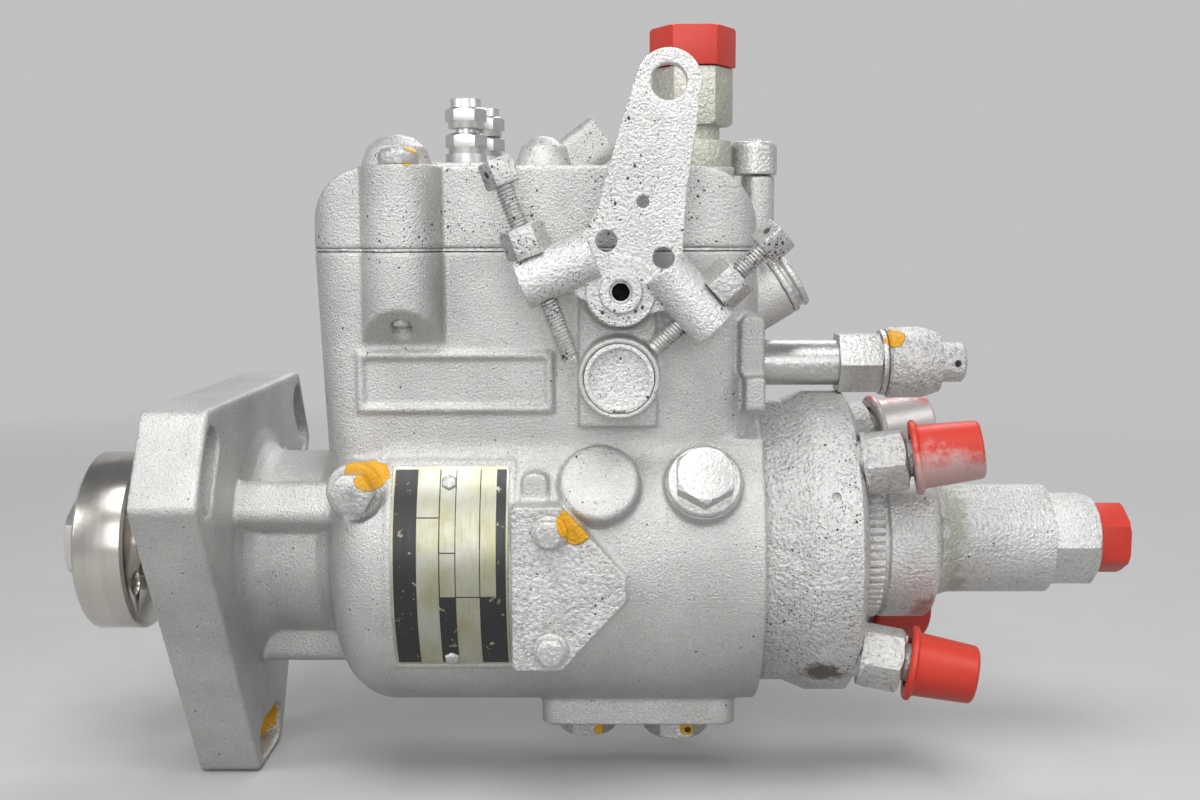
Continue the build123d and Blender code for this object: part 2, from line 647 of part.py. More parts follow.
def shaft_bushes():
    front = tube(SEAL_BORE_DEPTH + 0.2, BODY_START - 6, BUSH_RADIUS - FIT, SHAFT_RADIUS + FIT)
    return [front, tube(BODY_START - 5, CAM_BORE_START - 0.5, BUSH_RADIUS - FIT, SHAFT_RADIUS + FIT)]


def shaft_seals():
    # Two lip seals on the shaft, and the ring in the pilot's groove
    seals = [Pos(RING_X, 0, 0) * Rot(0, 90, 0) * Torus(PILOT_RADIUS - RING_SECTION - 0.05, RING_SECTION)]
    outer = SEAL_BORE_RADIUS - 0.1
    for x in SEAL_PLACES:
        outline = ((outer, 0), (outer, SEAL_WIDTH), (outer - 2.3, SEAL_WIDTH), (outer - 2.3, 2.0),
                   (SHAFT_RADIUS + 1.2, 2.2), (SHAFT_RADIUS + 0.4, 5.4), (SHAFT_RADIUS + FIT, 4.4),
                   (SHAFT_RADIUS + 0.3, 2.0), (SHAFT_RADIUS + 1.6, 0))
        seals.append(spun(outline, (x, 0, 0)))
    return seals


def cover_body(shrink=0.0):
    # The rounded outside, or its inside when every face is moved in
    front = BOX_FRONT + shrink
    back = BOX_BACK - GAP - shrink
    wide = BOX_HALF_WIDTH - shrink
    top = COVER_TOP - shrink
    low = COVER_START - 1
    face = Polygon((front, low), (back, low), (back, top), (front, top), align=None)
    face = fillet(face.vertices().group_by(Axis.Y)[-1], COVER_END_RADIUS - shrink)
    long_way = extrude(Plane.XZ * face, amount=wide, both=True)
    plan = RectangleRounded(back - front, 2 * wide, BOX_CORNER - min(shrink, 5))
    return long_way & extrude(Pos((front + back) / 2, 0, COVER_START) * plan, amount=COVER_TOP)


def cover_domes():
    # Two domed bosses, the raised terminal pad and the sloping block on top
    domes = spun(((0, -4), (9.0, -4), (9.0, 1.5), (7.6, 5.6), (4.4, 8.2), (0, 9.2)),
                 (BOX_FRONT + 18.7, -8, COVER_TOP), (0, 0, 1))
    domes += spun(((0, -4), (7.2, -4), (7.2, 2.0), (5.6, 6.2), (2.8, 8.4), (0, 9.0)),
                  (BOX_FRONT + 56.0, -2, COVER_TOP), (0, 0, 1))
    domes += block(BOX_FRONT + 27.5, BOX_FRONT + 47.5, -8, 22, COVER_TOP - 2, COVER_TOP + 2)
    tilted = fillet(Box(12, 12, 18, align=BASE).edges().filter_by(Axis.Z), 3.0)
    domes += Plane(origin=(BOX_FRONT + 57.5, 6, COVER_TOP - 1.2), z_dir=(0.80, 0, 0.60)) * tilted
    return domes + rod((RETURN_X, 0, COVER_TOP - 4), (RETURN_X, 0, COVER_TOP + 0.8), 11.0)


def governor_cover():
    shell = cover_body()
    for boss in screw_bosses(COVER_START, COVER_TOP):
        shell += boss
    shell += cover_domes()
    shell -= cover_body(COVER_WALL)
    shell -= block(BOX_FRONT + 6, BOX_BACK - 6, -20, 20, COVER_START - 5, COVER_START)
    shell -= rod((SEAL_X, SEAL_Y, COVER_START - 1), (SEAL_X, SEAL_Y, COVER_TOP + 5), SEAL_RADIUS + GAP)
    shell -= screw_holes(COVER_SCREW_RADIUS + FIT)
    shell -= rod((RETURN_X, 0, COVER_TOP - 8), (RETURN_X, 0, COVER_TOP + 5), RETURN_THREAD_RADIUS + FIT)
    for x, y, top, level in TERMINAL_PLACES:
        shell -= rod((x, y, COVER_TOP - 8), (x, y, COVER_TOP + 5), BUSH_HOLE_RADIUS + FIT)
    return shell


def cover_gasket():
    sheet = extrude(Pos(0, 0, JOINT_HEIGHT) * box_section(BOX_FRONT, 0), amount=GASKET_THICKNESS)
    for boss in screw_bosses(JOINT_HEIGHT, COVER_START):
        sheet += boss
    wide = BOX_HALF_WIDTH - BOX_WALL
    inner = block(BOX_FRONT + 8, BOX_BACK - 7, -wide, wide, JOINT_HEIGHT - 1, JOINT_HEIGHT + 2)
    sheet -= fillet(inner.edges().filter_by(Axis.Z), 5.0)
    sheet -= rod((SEAL_X, SEAL_Y, JOINT_HEIGHT - 1), (SEAL_X, SEAL_Y, COVER_TOP), SEAL_RADIUS + GAP)
    return sheet - screw_holes(COVER_SCREW_RADIUS + FIT)


def cover_screws():
    screws = []
    for x, side in COVER_SCREW_PLACES:
        y = side * (BOX_HALF_WIDTH + COVER_SCREW_OFFSET)
        head = spun(((0, 0), (4.9, 0), (4.9, 2.6), (4.2, 3.6), (2.2, 4.2), (0, 4.3)), (x, y, COVER_TOP), (0, 0, 1))
        head -= block(x - 6, x + 6, y - 0.6, y + 0.6, COVER_TOP + 2.8, COVER_TOP + 6)
        screws.append(head + rod((x, y, SCREW_BOSS_FOOT + 4.5), (x, y, COVER_TOP + 1), COVER_SCREW_RADIUS))
    return screws


def return_fitting():
    teeth = RegularPolygon(10.2, 24)
    base = extrude(Pos(RETURN_X, 0, COVER_TOP + 0.8) * teeth, amount=6.6)
    neck_top = RETURN_HEX_START + 0.5
    neck = rod((RETURN_X, 0, COVER_TOP - 6), (RETURN_X, 0, neck_top), RETURN_THREAD_RADIUS)
    neck += rod((RETURN_X, 0, COVER_TOP + 7), (RETURN_X, 0, neck_top), RETURN_THREAD_RADIUS + 1.1)
    seat = (RETURN_X, 0, RETURN_HEX_START)
    top = hex_bar(seat, (0, 0, 1), RETURN_HEX, RETURN_HEX_HEIGHT)
    cone = ((0, 0), (9.6, 0), (11.2, 1.4), (11.2, RETURN_HEX_HEIGHT), (0, RETURN_HEX_HEIGHT))
    top = top & spun(cone, seat, (0, 0, 1))
    end = RETURN_HEX_START + RETURN_HEX_HEIGHT + 6.9
    stub = rod((RETURN_X, 0, end - 8), (RETURN_X, 0, end), RETURN_STUB_RADIUS)
    return base + neck + top + stub - rod((RETURN_X, 0, COVER_TOP - 7), (RETURN_X, 0, end + 1), RETURN_BORE_RADIUS)


def return_cap():
    seat = RETURN_HEX_START + RETURN_HEX_HEIGHT + GAP
    cap = hex_bar((RETURN_X, 0, seat), (0, 0, 1), RETURN_CAP_WIDTH, RETURN_CAP_HEIGHT)
    dome = spun(((0, 0), (11.4, 0), (11.4, RETURN_CAP_HEIGHT - 0.7), (10.6, RETURN_CAP_HEIGHT),
                 (0, RETURN_CAP_HEIGHT)), (RETURN_X, 0, seat), (0, 0, 1))
    hollow = rod((RETURN_X, 0, seat - 1), (RETURN_X, 0, seat + 7.2), RETURN_STUB_RADIUS + GAP)
    return (cap & dome) - hollow


def terminal_studs():
    # Each stud stands in its own insulating bush
    studs = []
    for x, y, top, level in TERMINAL_PLACES:
        studs.append(rod((x, y, COVER_TOP - 5), (x, y, COVER_TOP + top), TERMINAL_RADIUS))
        inner = TERMINAL_RADIUS + FIT
        bush = ((inner, -5), (BUSH_HOLE_RADIUS, -5), (BUSH_HOLE_RADIUS, 2.0), (5.4, 2.0), (5.4, 4.4), (inner, 4.4))
        studs.append(spun(bush, (x, y, COVER_TOP), (0, 0, 1)))
    return studs


def terminal_nuts():
    nuts = []
    for x, y, top, level in TERMINAL_PLACES:
        for height in (5.2, level):
            start = COVER_TOP + height
            nut = rod((x, y, start - 0.8), (x, y, start + 0.9), 4.6)
            nut += hex_nut((x, y, start + 0.9), (0, 0, 1), TERMINAL_NUT_WIDTH, TERMINAL_NUT_HEIGHT)
            if height == level:
                end = start + 0.9 + TERMINAL_NUT_HEIGHT
                nut += rod((x, y, end - 0.5), (x, y, end + 2.2), TERMINAL_COLLAR_RADIUS)
            nuts.append(nut - rod((x, y, start - 2), (x, y, start + 9), TERMINAL_RADIUS + FIT))
    return nuts


def seal_cup():
    outline = ((0, 0.2), (6.2, 0.2), (6.2, 1.2), (6.1, 7.6), (5.2, 8.8), (2.2, 9.0), (2.0, 9.6), (0, 9.6))
    cup = spun(outline, (SEAL_X, SEAL_Y, SEAL_TOP), (0, 0, 1))
    return cup + rod((SEAL_X, SEAL_Y, SEAL_TOP - 7), (SEAL_X, SEAL_Y, SEAL_TOP + 1), 3.3)


def side_plug():
    out = Vector(*SIDE_PLUG_OUT)
    end = Vector(*SIDE_PLUG_POINT) + out * SIDE_PLUG_LENGTH
    outer = SIDE_PLUG_RADIUS
    outline = ((0, -7), (SIDE_PLUG_THREAD, -7), (SIDE_PLUG_THREAD, 0), (outer, 0), (outer, 1.4), (outer - 0.8, 1.9),
               (outer - 0.8, 2.6), (outer, 3.1), (outer - 0.4, 4.4), (0, 5.4))
    return spun(outline, end, out)


def throttle_shaft():
    # The spindle, hollow at the lever, and the fork that presses on the governor spring's guide
    front = -LEVER_PLANE - 1.9
    spindle = rod((PIVOT_X, front, PIVOT_Z), (PIVOT_X, BOX_HALF_WIDTH - 3, PIVOT_Z), THROTTLE_SHAFT_RADIUS)
    spindle -= rod((PIVOT_X, front - 1, PIVOT_Z), (PIVOT_X, front + 9, PIVOT_Z), SHAFT_HOLE_RADIUS)
    fork = rod((PIVOT_X, -6, PIVOT_Z), (PIVOT_X, 6, PIVOT_Z), 7.0)
    foot = DROOP_Z - 6.7
    fork += side_sketch(((PIVOT_X - 6.5, PIVOT_Z), (PIVOT_X + 4, PIVOT_Z), (PIVOT_X - 2, foot),
                         (FORK_FRONT, foot)), -6, 6)
    slot = GUIDE_RADIUS + 0.9
    fork -= block(PIVOT_X - 15, PIVOT_X + 15, -slot, slot, foot - 2, DROOP_Z + slot)
    return spindle + fork


def lever_plate():
    y0 = -LEVER_PLANE - LEVER_THICKNESS / 2
    y1 = -LEVER_PLANE + LEVER_THICKNESS / 2
    edge = ((-0.3, 37.0), (-3.0, 27.6), (-5.1, 19.6), (-7.7, 14.6), (-12.8, 10.8), (-15.8, 2.6), (-7.8, -2.4),
            (-0.3, -7.2), (9.2, -4.4), (18.9, -3.9), (16.7, 2.6), (14.3, 9.6), (15.1, 22.6), (17.3, 36.6))
    points = [(EYE_X - 7.2, EYE_Z + 2.4)]
    points += [(PIVOT_X + x, PIVOT_Z + z) for x, z in edge]
    points.append((EYE_X + 7.3, EYE_Z + 2.0))
    blade = side_sketch(points, y0, y1)
    blade += rod((EYE_X, y0, EYE_Z), (EYE_X, y1, EYE_Z), EYE_RADIUS)
    return blade + rod((PIVOT_X, y0 - 0.8, PIVOT_Z), (PIVOT_X, y1, PIVOT_Z), LEVER_HUB_RADIUS)


def stop_line(out):
    return Vector(out[0], 0, out[1]).normalized()


def stop_crossing(tip, arm, out):
    # How far from the tip the screw meets its arm's centre line
    to_arm = Vector(arm[0][0] - tip[0], 0, arm[0][1] - tip[1])
    return to_arm.dot(stop_line(out))


def flat_point(place):
    # A point of the lever's plane
    return Vector(place[0], -LEVER_PLANE, place[1])


def throttle_lever():
    back = -LEVER_PLANE + LEVER_THICKNESS / 2
    step = -LEVER_PLANE - 2.0
    lever = lever_plate()
    for start, end in (LEFT_ARM, RIGHT_ARM):
        lever += rod(flat_point(start), flat_point(end), ARM_RADIUS)
    lever += rod((PIVOT_X, -LEVER_PLANE - 4.6, PIVOT_Z), (PIVOT_X, back, PIVOT_Z), 4.9)
    lever -= rod((PIVOT_X, -60, PIVOT_Z), (PIVOT_X, step, PIVOT_Z), SHAFT_HOLE_RADIUS + 0.5)
    lever -= rod((PIVOT_X, step, PIVOT_Z), (PIVOT_X, -20, PIVOT_Z), THROTTLE_SHAFT_RADIUS + FIT)
    holes = ((EYE_X, EYE_Z, EYE_HOLE_RADIUS), (PIVOT_X + 5.1, PIVOT_Z + 20.6, 1.4),
             (PIVOT_X - 3.3, PIVOT_Z + 11.7, 2.45), (PIVOT_X + 9.8, PIVOT_Z + 7.8, 2.45))
    for x, z, radius in holes:
        lever -= rod((x, -60, z), (x, -30, z), radius)
    lever -= rod((PIVOT_X, back, PIVOT_Z), (PIVOT_X, -30, PIVOT_Z), THROTTLE_BOSS_RADIUS + 1.0)
    for tip, out in ((LEFT_TIP, LEFT_OUT), (RIGHT_TIP, RIGHT_OUT)):
        lever -= rod(flat_point(tip), flat_point(tip) + stop_line(out) * 60, STOP_SCREW_RADIUS + FIT)
    return lever


def stop_screw(tip, out, length):
    # A long screw whose square head has a hole across it for locking wire
    line = stop_line(out)
    start = flat_point(tip)
    neck = start + line * length
    screw = rod(start + line * 0.8, neck, STOP_SCREW_RADIUS) + rod(start, start + line * 1.2, STOP_SCREW_RADIUS - 0.5)
    plane = Plane(origin=neck, z_dir=line, x_dir=(0, 1, 0)) * Rot(0, 0, STOP_HEAD_TURN)
    head = chamfer(Box(STOP_HEAD_WIDTH, STOP_HEAD_WIDTH, STOP_HEAD_HEIGHT, align=BASE).edges(), 0.6)
    head -= Pos(0, 0, STOP_HEAD_HEIGHT * 0.55) * Rot(90, 0, 0) * Cylinder(WIRE_HOLE_RADIUS, 16)
    return screw + plane * head


def stop_screw_left():
    return stop_screw(LEFT_TIP, LEFT_OUT, LEFT_LENGTH)


def stop_screw_right():
    return stop_screw(RIGHT_TIP, RIGHT_OUT, RIGHT_LENGTH)


def stop_nut(tip, out, arm):
    # A lock nut whose seat is hollowed to the round arm
    line = stop_line(out)
    seat = flat_point(tip) + line * (stop_crossing(tip, arm, out) + ARM_RADIUS - 0.9)
    nut = hex_nut(seat, line, STOP_NUT_WIDTH, STOP_NUT_HEIGHT + 0.9)
    run = Vector(arm[1][0] - arm[0][0], 0, arm[1][1] - arm[0][1]).normalized()
    bar = rod(flat_point(arm[0]) - run * 9, flat_point(arm[1]), ARM_RADIUS + 0.02)
    return nut - bar - rod(flat_point(tip), flat_point(tip) + line * 60, STOP_SCREW_RADIUS + FIT)


def stop_nuts():
    return [stop_nut(LEFT_TIP, LEFT_OUT, LEFT_ARM), stop_nut(RIGHT_TIP, RIGHT_OUT, RIGHT_ARM)]


def boss_plug():
    # A cupped plug and the snap ring that holds it
    floor = -ROUND_BOSS_FACE + BOSS_BORE_DEPTH
    outer = BOSS_BORE_RADIUS - 0.1
    outline = ((0, 0), (outer, 0), (outer, 3.0), (outer - 0.8, 3.4), (outer - 1.3, 2.9), (0, 2.7))
    return [spun(outline, (ROUND_BOSS_X, floor, ROUND_BOSS_Z), (0, -1, 0)), snap_ring(floor - 3.6)]


def snap_ring(y):
    ring = rod((ROUND_BOSS_X, y, ROUND_BOSS_Z), (ROUND_BOSS_X, y - 1.1, ROUND_BOSS_Z), BOSS_BORE_RADIUS - FIT)
    ring -= rod((ROUND_BOSS_X, y + 1, ROUND_BOSS_Z), (ROUND_BOSS_X, y - 3, ROUND_BOSS_Z), BOSS_BORE_RADIUS - 1.2)
    return ring - block(ROUND_BOSS_X - 1.4, ROUND_BOSS_X + 1.4, y - 10, y + 10, ROUND_BOSS_Z - 12, ROUND_BOSS_Z - 5)


def timing_cover():
    plate = timing_outline(-TIMING_FACE - TIMING_PLATE, -TIMING_FACE)
    plate = fillet(plate.edges().group_by(Axis.Y)[0], 0.7)
    for x, z in timing_screw_places():
        plate -= rod((x, -60, z), (x, -30, z), TIMING_SCREW_RADIUS + FIT)
    return plate


def timing_screws():
    screws = []
    for x, z in timing_screw_places():
        face = -TIMING_FACE - TIMING_PLATE
        screw = spun(((0, 0), (4.4, 0), (4.2, 0.9), (3.6, 1.1), (0, 1.1)), (x, face, z), (0, -1, 0))
        screw += hex_nut((x, face - 0.9, z), (0, -1, 0), 6.6, 3.0, 30)
        screws.append(screw + rod((x, face - 0.5, z), (x, face + 8.6, z), TIMING_SCREW_RADIUS))
    return screws


def nameplate():
    start = PLATE_START - 2
    sheet = tube(start, start + PLATE_LENGTH + 4, BODY_RADIUS + PLATE_THICKNESS, BODY_RADIUS + 0.02)
    outline = RectangleRounded(PLATE_LENGTH, PLATE_TOP - PLATE_BOTTOM, 1.2)
    outline = Pos(PLATE_START + PLATE_LENGTH / 2, 0, (PLATE_TOP + PLATE_BOTTOM) / 2) * (Plane.XZ * outline)
    return sheet & extrude(outline, amount=60)


def pivot_nuts():
    nuts = []
    for side in (-1, 1):
        seat = (ARM_PIVOT_X, side * PIVOT_NUT_FACE, ARM_PIVOT_Z)
        nut = hex_bar(seat, (0, side, 0), PIVOT_NUT_WIDTH, 4.8, 30)
        dome = spun(((0, 0), (6.4, 0), (6.4, 2.6), (5.0, 4.0), (2.6, 4.7), (0, 4.8)), seat, (0, side, 0))
        bottom = (ARM_PIVOT_X, side * (PIVOT_NUT_FACE + 2.2), ARM_PIVOT_Z)
        nuts.append((nut & dome) - rod(seat, bottom, PIVOT_PIN_RADIUS + FIT))
    return nuts


def pivot_shaft():
    reach = PIVOT_NUT_FACE + 2
    return rod((ARM_PIVOT_X, -reach, ARM_PIVOT_Z), (ARM_PIVOT_X, reach, ARM_PIVOT_Z), PIVOT_PIN_RADIUS)


def head_locking_screws():
    screws = []
    for angle in LOCK_ANGLES:
        screws.append(washer_screw(spoke(angle, LOCK_FACE, LOCK_X), spoke(angle), 13.2, 9.0, BIG_SCREW_RADIUS, 14.5))
    return screws


def bottom_screws():
    # The head locating screw, drilled for wire, and the cam locating screw
    locating = washer_screw((LOCATING_X, 0, -PAD_FACE), (0, 0, -1), 15.0, 8.6, BIG_SCREW_RADIUS, 17.0, 5.2)
    level = -PAD_FACE - 4
    locating -= rod((LOCATING_X + 3, -20, level), (LOCATING_X + 3, 20, level), WIRE_HOLE_RADIUS)
    return [locating, washer_screw((CAM_SCREW_X, 0, -PAD_FACE), (0, 0, -1), 13.7, 8.2, BIG_SCREW_RADIUS, 17.0, 4.6)]


def droop_tube():
    return tube(BOX_BACK - 6, DROOP_TUBE_END, DROOP_TUBE_RADIUS, DROOP_SCREW_RADIUS + GAP, 0, DROOP_Z)


def droop_nut():
    start = (DROOP_NUT_START, 0, DROOP_Z)
    nut = hex_nut(start, (1, 0, 0), DROOP_NUT_HEX, DROOP_NUT_END - DROOP_NUT_START, 30)
    washer = shaft(DROOP_NUT_END, DROOP_KNOB_START - GAP, 8.6, 0, DROOP_Z)
    hole = shaft(DROOP_NUT_START - 1, DROOP_TUBE_END, DROOP_TUBE_RADIUS + FIT, 0, DROOP_Z)
    through = shaft(DROOP_NUT_START - 1, DROOP_KNOB_START, DROOP_SCREW_RADIUS + GAP, 0, DROOP_Z)
    return nut + washer - hole - through


def droop_knob():
    length = DROOP_KNOB_END - DROOP_KNOB_START
    end = DROOP_STUB_END - DROOP_KNOB_START
    knob = spun(((0, 0), (8.8, 0), (DROOP_KNOB_RADIUS, 0.7), (DROOP_KNOB_RADIUS, length - 4.5), (7.9, length),
                 (DROOP_STUB_RADIUS, length), (DROOP_STUB_RADIUS, end - 0.8), (DROOP_STUB_RADIUS - 0.8, end),
                 (0, end)), (DROOP_KNOB_START, 0, DROOP_Z))
    knob += shaft(DROOP_SCREW_START, DROOP_KNOB_START + 1, DROOP_SCREW_RADIUS, 0, DROOP_Z)
    hole = DROOP_STUB_END - 2.6
    return knob - rod((hole, -9, DROOP_Z), (hole, 9, DROOP_Z), WIRE_HOLE_RADIUS)


def head_profile():
    inner = CAP_RIM_RADIUS + 0.5
    edge = HEAD_FACE - 1.9
    cone_end = edge + (HEAD_SMALL_RADIUS - inner) * tan(radians(FITTING_TILT))
    return ((0, HEAD_START + GAP), (HEAD_BORE_RADIUS - FIT, HEAD_START + GAP), (HEAD_BORE_RADIUS - FIT, BODY_END),
            (HEAD_SMALL_RADIUS, BODY_END), (HEAD_SMALL_RADIUS, BODY_END + 7.5), (HEAD_RING_RADIUS, BODY_END + 13.5),
            (HEAD_RING_RADIUS, HEAD_FACE - 3.5), (HEAD_SMALL_RADIUS, edge), (inner, cone_end), (inner, CAP_RIM_START),
            (0, CAP_RIM_START))


def fitting_base(angle):
    # Centre of a discharge fitting on the sloping face, and the way it points
    x = HEAD_FACE - 1.9 + (HEAD_SMALL_RADIUS - FITTING_CIRCLE) * tan(radians(FITTING_TILT))
    out = Vector(cos(radians(FITTING_TILT)), 0, 0) + spoke(angle, sin(radians(FITTING_TILT)))
    return spoke(angle, FITTING_CIRCLE, x), out


def hydraulic_head():
    head = spun(head_profile())
    for angle in FITTING_ANGLES:
        point, out = fitting_base(angle)
        head -= rod(point - out * 12, point + out * 2, FITTING_THREAD_RADIUS + FIT)
    head -= shaft(HEAD_START - 1, HEAD_START + 4, ROTOR_HEAD_RADIUS + 1)
    head -= shaft(HEAD_START - 1, LINER_START - 2, ROTOR_RADIUS + FIT)
    head -= shaft(LINER_START - 3, CAP_RIM_START + 1, LINER_RADIUS)
    head -= rod((METERING_X, 0, 14), (METERING_X, 0, 40), METERING_RADIUS + FIT)
    for angle in LOCK_ANGLES:
        head -= rod(spoke(angle, 29.5, LOCK_X), spoke(angle, 60, LOCK_X), BIG_SCREW_RADIUS + FIT)
    head -= rod((LOCATING_X, 0, -29), (LOCATING_X, 0, -60), BIG_SCREW_RADIUS + FIT)
    dimple = HEAD_FACE - 9.7
    return head - rod(spoke(27, HEAD_RING_RADIUS - 1.2, dimple), spoke(27, 45, dimple), 1.2)


def discharge_fittings():
    fittings = []
    thread = FITTING_THREAD_RADIUS
    for angle in FITTING_ANGLES:
        point, out = fitting_base(angle)
        outline = ((0, -11), (thread, -11), (thread, 0), (7.9, 0), (7.9, 1.2), (6.6, 1.2), (6.6, 10.2), (4.7, 11.0),
                   (4.7, 12.6), (thread - 0.1, 13.2), (thread - 0.1, FITTING_LENGTH - 1.5), (4.4, FITTING_LENGTH),
                   (0, FITTING_LENGTH))
        fitting = spun(outline, point, out) + hex_nut(point + out * 1.0, out, FITTING_HEX, 9.4)
        fittings.append(fitting - rod(point - out * 12, point + out * (FITTING_LENGTH + 1), DELIVERY_BORE_RADIUS))
    return fittings


def transport_cap(angle):
    point, out = fitting_base(angle)
    base = point + out * CAP_SEAT
    outline = ((0, 0), (9.4, 0), (9.4, 1.6), (8.1, 2.2), (7.2, CAP_LENGTH - 0.8), (6.5, CAP_LENGTH), (0, CAP_LENGTH))
    shell = spun(outline, base, out)
    return shell - rod(base - out, base + out * (CAP_LENGTH - CAP_WALL), FITTING_THREAD_RADIUS - 0.1 + GAP)


def end_cap():
    points = []
    inner = CAP_RIM_RADIUS - CAP_TOOTH_DEPTH
    for number in range(CAP_TEETH):
        for part, radius in ((-0.28, CAP_RIM_RADIUS), (0.28, CAP_RIM_RADIUS), (0.5, inner)):
            turn = 2 * pi * (number + part) / CAP_TEETH
            points.append((radius * cos(turn), radius * sin(turn)))
    rim = end_sketch(Polygon(*points, align=None), CAP_RIM_START, CAP_RIM_END)
    groove = CAP_RIM_RADIUS - 1.2
    wide = CAP_RIM_RADIUS - 0.1
    cap = rim + spun(((0, CAP_RIM_END - 1), (groove, CAP_RIM_END - 1), (groove, CAP_RIM_END + 1),
                      (wide, CAP_RIM_END + 1.6), (wide, CAP_BODY_END - 1.2), (wide - 0.9, CAP_BODY_END),
                      (CAP_NOSE_RADIUS + 1.2, CAP_BODY_END + 1.8), (CAP_NOSE_RADIUS, CAP_NOSE_START),
                      (CAP_NOSE_RADIUS, CAP_NOSE_END), (0, CAP_NOSE_END)))
    cap -= shaft(CAP_RIM_START - 1, CAP_RIM_START + 1.2, LINER_RADIUS - 1.5)
    cap -= shaft(CAP_RIM_START - 1, CAP_NOSE_START + 4, REGULATOR_RADIUS)
    return cap - shaft(CAP_NOSE_START, CAP_NOSE_END + 1, INLET_NECK_RADIUS)


def inlet_fitting():
    hexagon = hex_nut((CAP_NOSE_END, 0, 0), (1, 0, 0), INLET_HEX, INLET_HEX_END - CAP_NOSE_END, 30, 1.4)
    neck = shaft(CAP_NOSE_END - INLET_NECK_LENGTH, CAP_NOSE_END + 1, INLET_NECK_RADIUS - FIT)
    return hexagon + neck - shaft(CAP_NOSE_START, INLET_HEX_END + 1, INLET_BORE_RADIUS)


def inlet_plug():
    face = INLET_HEX_END + SEAT
    flange = hex_nut((face, 0, 0), (1, 0, 0), 16.6, PLUG_END - face, 0, 0.6)
    return flange + shaft(INLET_HEX_END - 7, INLET_HEX_END + 1, INLET_BORE_RADIUS - FIT)


def drive_hub():
    inner = HUB_BORE_RADIUS + FIT
    hub = spun(((inner, 0), (inner, HUB_LENGTH), (HUB_RADIUS - 0.8, HUB_LENGTH), (HUB_RADIUS, HUB_LENGTH - 0.8),
                (HUB_RADIUS, 0.8), (HUB_RADIUS - 0.8, 0), (20.4, 0), (19.8, 1.2), (inner + 3.7, 1.2), (inner + 3.1, 0)),
               (HUB_FRONT, 0, 0))
    for number in range(HUB_HOLES):
        place = spoke(90 + number * 360 / HUB_HOLES, HUB_HOLE_PCD / 2, HUB_FRONT)
        hub -= shaft(HUB_FRONT - 1, HUB_BACK + 1, HUB_HOLE_RADIUS, place.Y, place.Z)
    half = KEY_WIDTH / 2 + FIT
    return hub - block(HUB_FRONT - 1, HUB_BACK + 1, -half, half, 8, HUB_BORE_RADIUS + 2.7)


def drive_shaft():
    thread = SHAFT_THREAD_RADIUS
    spindle = spun(((0, SHAFT_TIP), (thread - 0.8, SHAFT_TIP), (thread, SHAFT_TIP + 0.8), (thread, HUB_FRONT),
                    (HUB_BORE_RADIUS, HUB_FRONT), (HUB_BORE_RADIUS, HUB_BACK), (HUB_COLLAR_RADIUS, HUB_BACK),
                    (HUB_COLLAR_RADIUS, HUB_BACK + 5.4), (SHAFT_RADIUS, HUB_BACK + 6.4), (SHAFT_RADIUS, SHAFT_END),
                    (0, SHAFT_END)))
    half = KEY_WIDTH / 2
    spindle -= block(HUB_FRONT - 1, HUB_BACK - 1.4, -half, half, SHAFT_THREAD_RADIUS, 20)
    wide = TANG_WIDTH / 2
    return spindle + block(SHAFT_END - 1, SHAFT_END + TANG_LENGTH, -wide, wide, -8.0, 8.0)


def hub_nut():
    nut = hex_nut((HUB_FRONT, 0, 0), (-1, 0, 0), HUB_NUT_WIDTH, HUB_NUT_HEIGHT)
    return nut - shaft(HUB_FRONT - 8, HUB_FRONT + 1, SHAFT_THREAD_RADIUS + FIT)


def hub_key():
    half = KEY_WIDTH / 2 - FIT
    return block(HUB_FRONT + 0.5, HUB_BACK - 1.6, -half, half, SHAFT_THREAD_RADIUS + FIT, HUB_BORE_RADIUS + 2.55)


def thrust_sleeve():
    bore = SHAFT_RADIUS + FIT
    sleeve = tube(SLEEVE_FRONT, SLEEVE_BACK, SLEEVE_TUBE_RADIUS, bore)
    sleeve += tube(SLEEVE_FRONT, SLEEVE_FRONT + 3, SLEEVE_RADIUS + 0.2, bore)
    return sleeve + tube(SLEEVE_BACK - 3.2, SLEEVE_BACK, SLEEVE_RADIUS, bore)


def weight_cage():
    # A disc with four fingers between the weights, and a round groove for each weight's ridge
    end = CAGE_X + CAGE_THICKNESS
    cage = tube(CAGE_X, end, CAGE_RADIUS, CAGE_BORE_RADIUS)
    start = CAGE_X - CAGE_FINGER_LENGTH
    for angle in WEIGHT_ANGLES:
        finger = block(start, CAGE_X + 1, -3.4, 3.4, WEIGHT_PIVOT_RADIUS - 2.5, CAGE_RADIUS)
        finger = finger & shaft(start - 5, CAGE_X + 5, CAGE_RADIUS - 0.3)
        cage += Rot(45 - angle, 0, 0) * finger
    for angle in WEIGHT_ANGLES:
        cage -= weight_ridge(angle, WEIGHT_RIDGE_RADIUS + FIT, WEIGHT_HALF_WIDTH + GAP)
    return cage


def weight_ridge(angle, radius, half):
    across = spoke(angle + 90) * half
    centre = spoke(angle, WEIGHT_PIVOT_RADIUS, CAGE_X)
    return rod(centre - across, centre + across, radius)


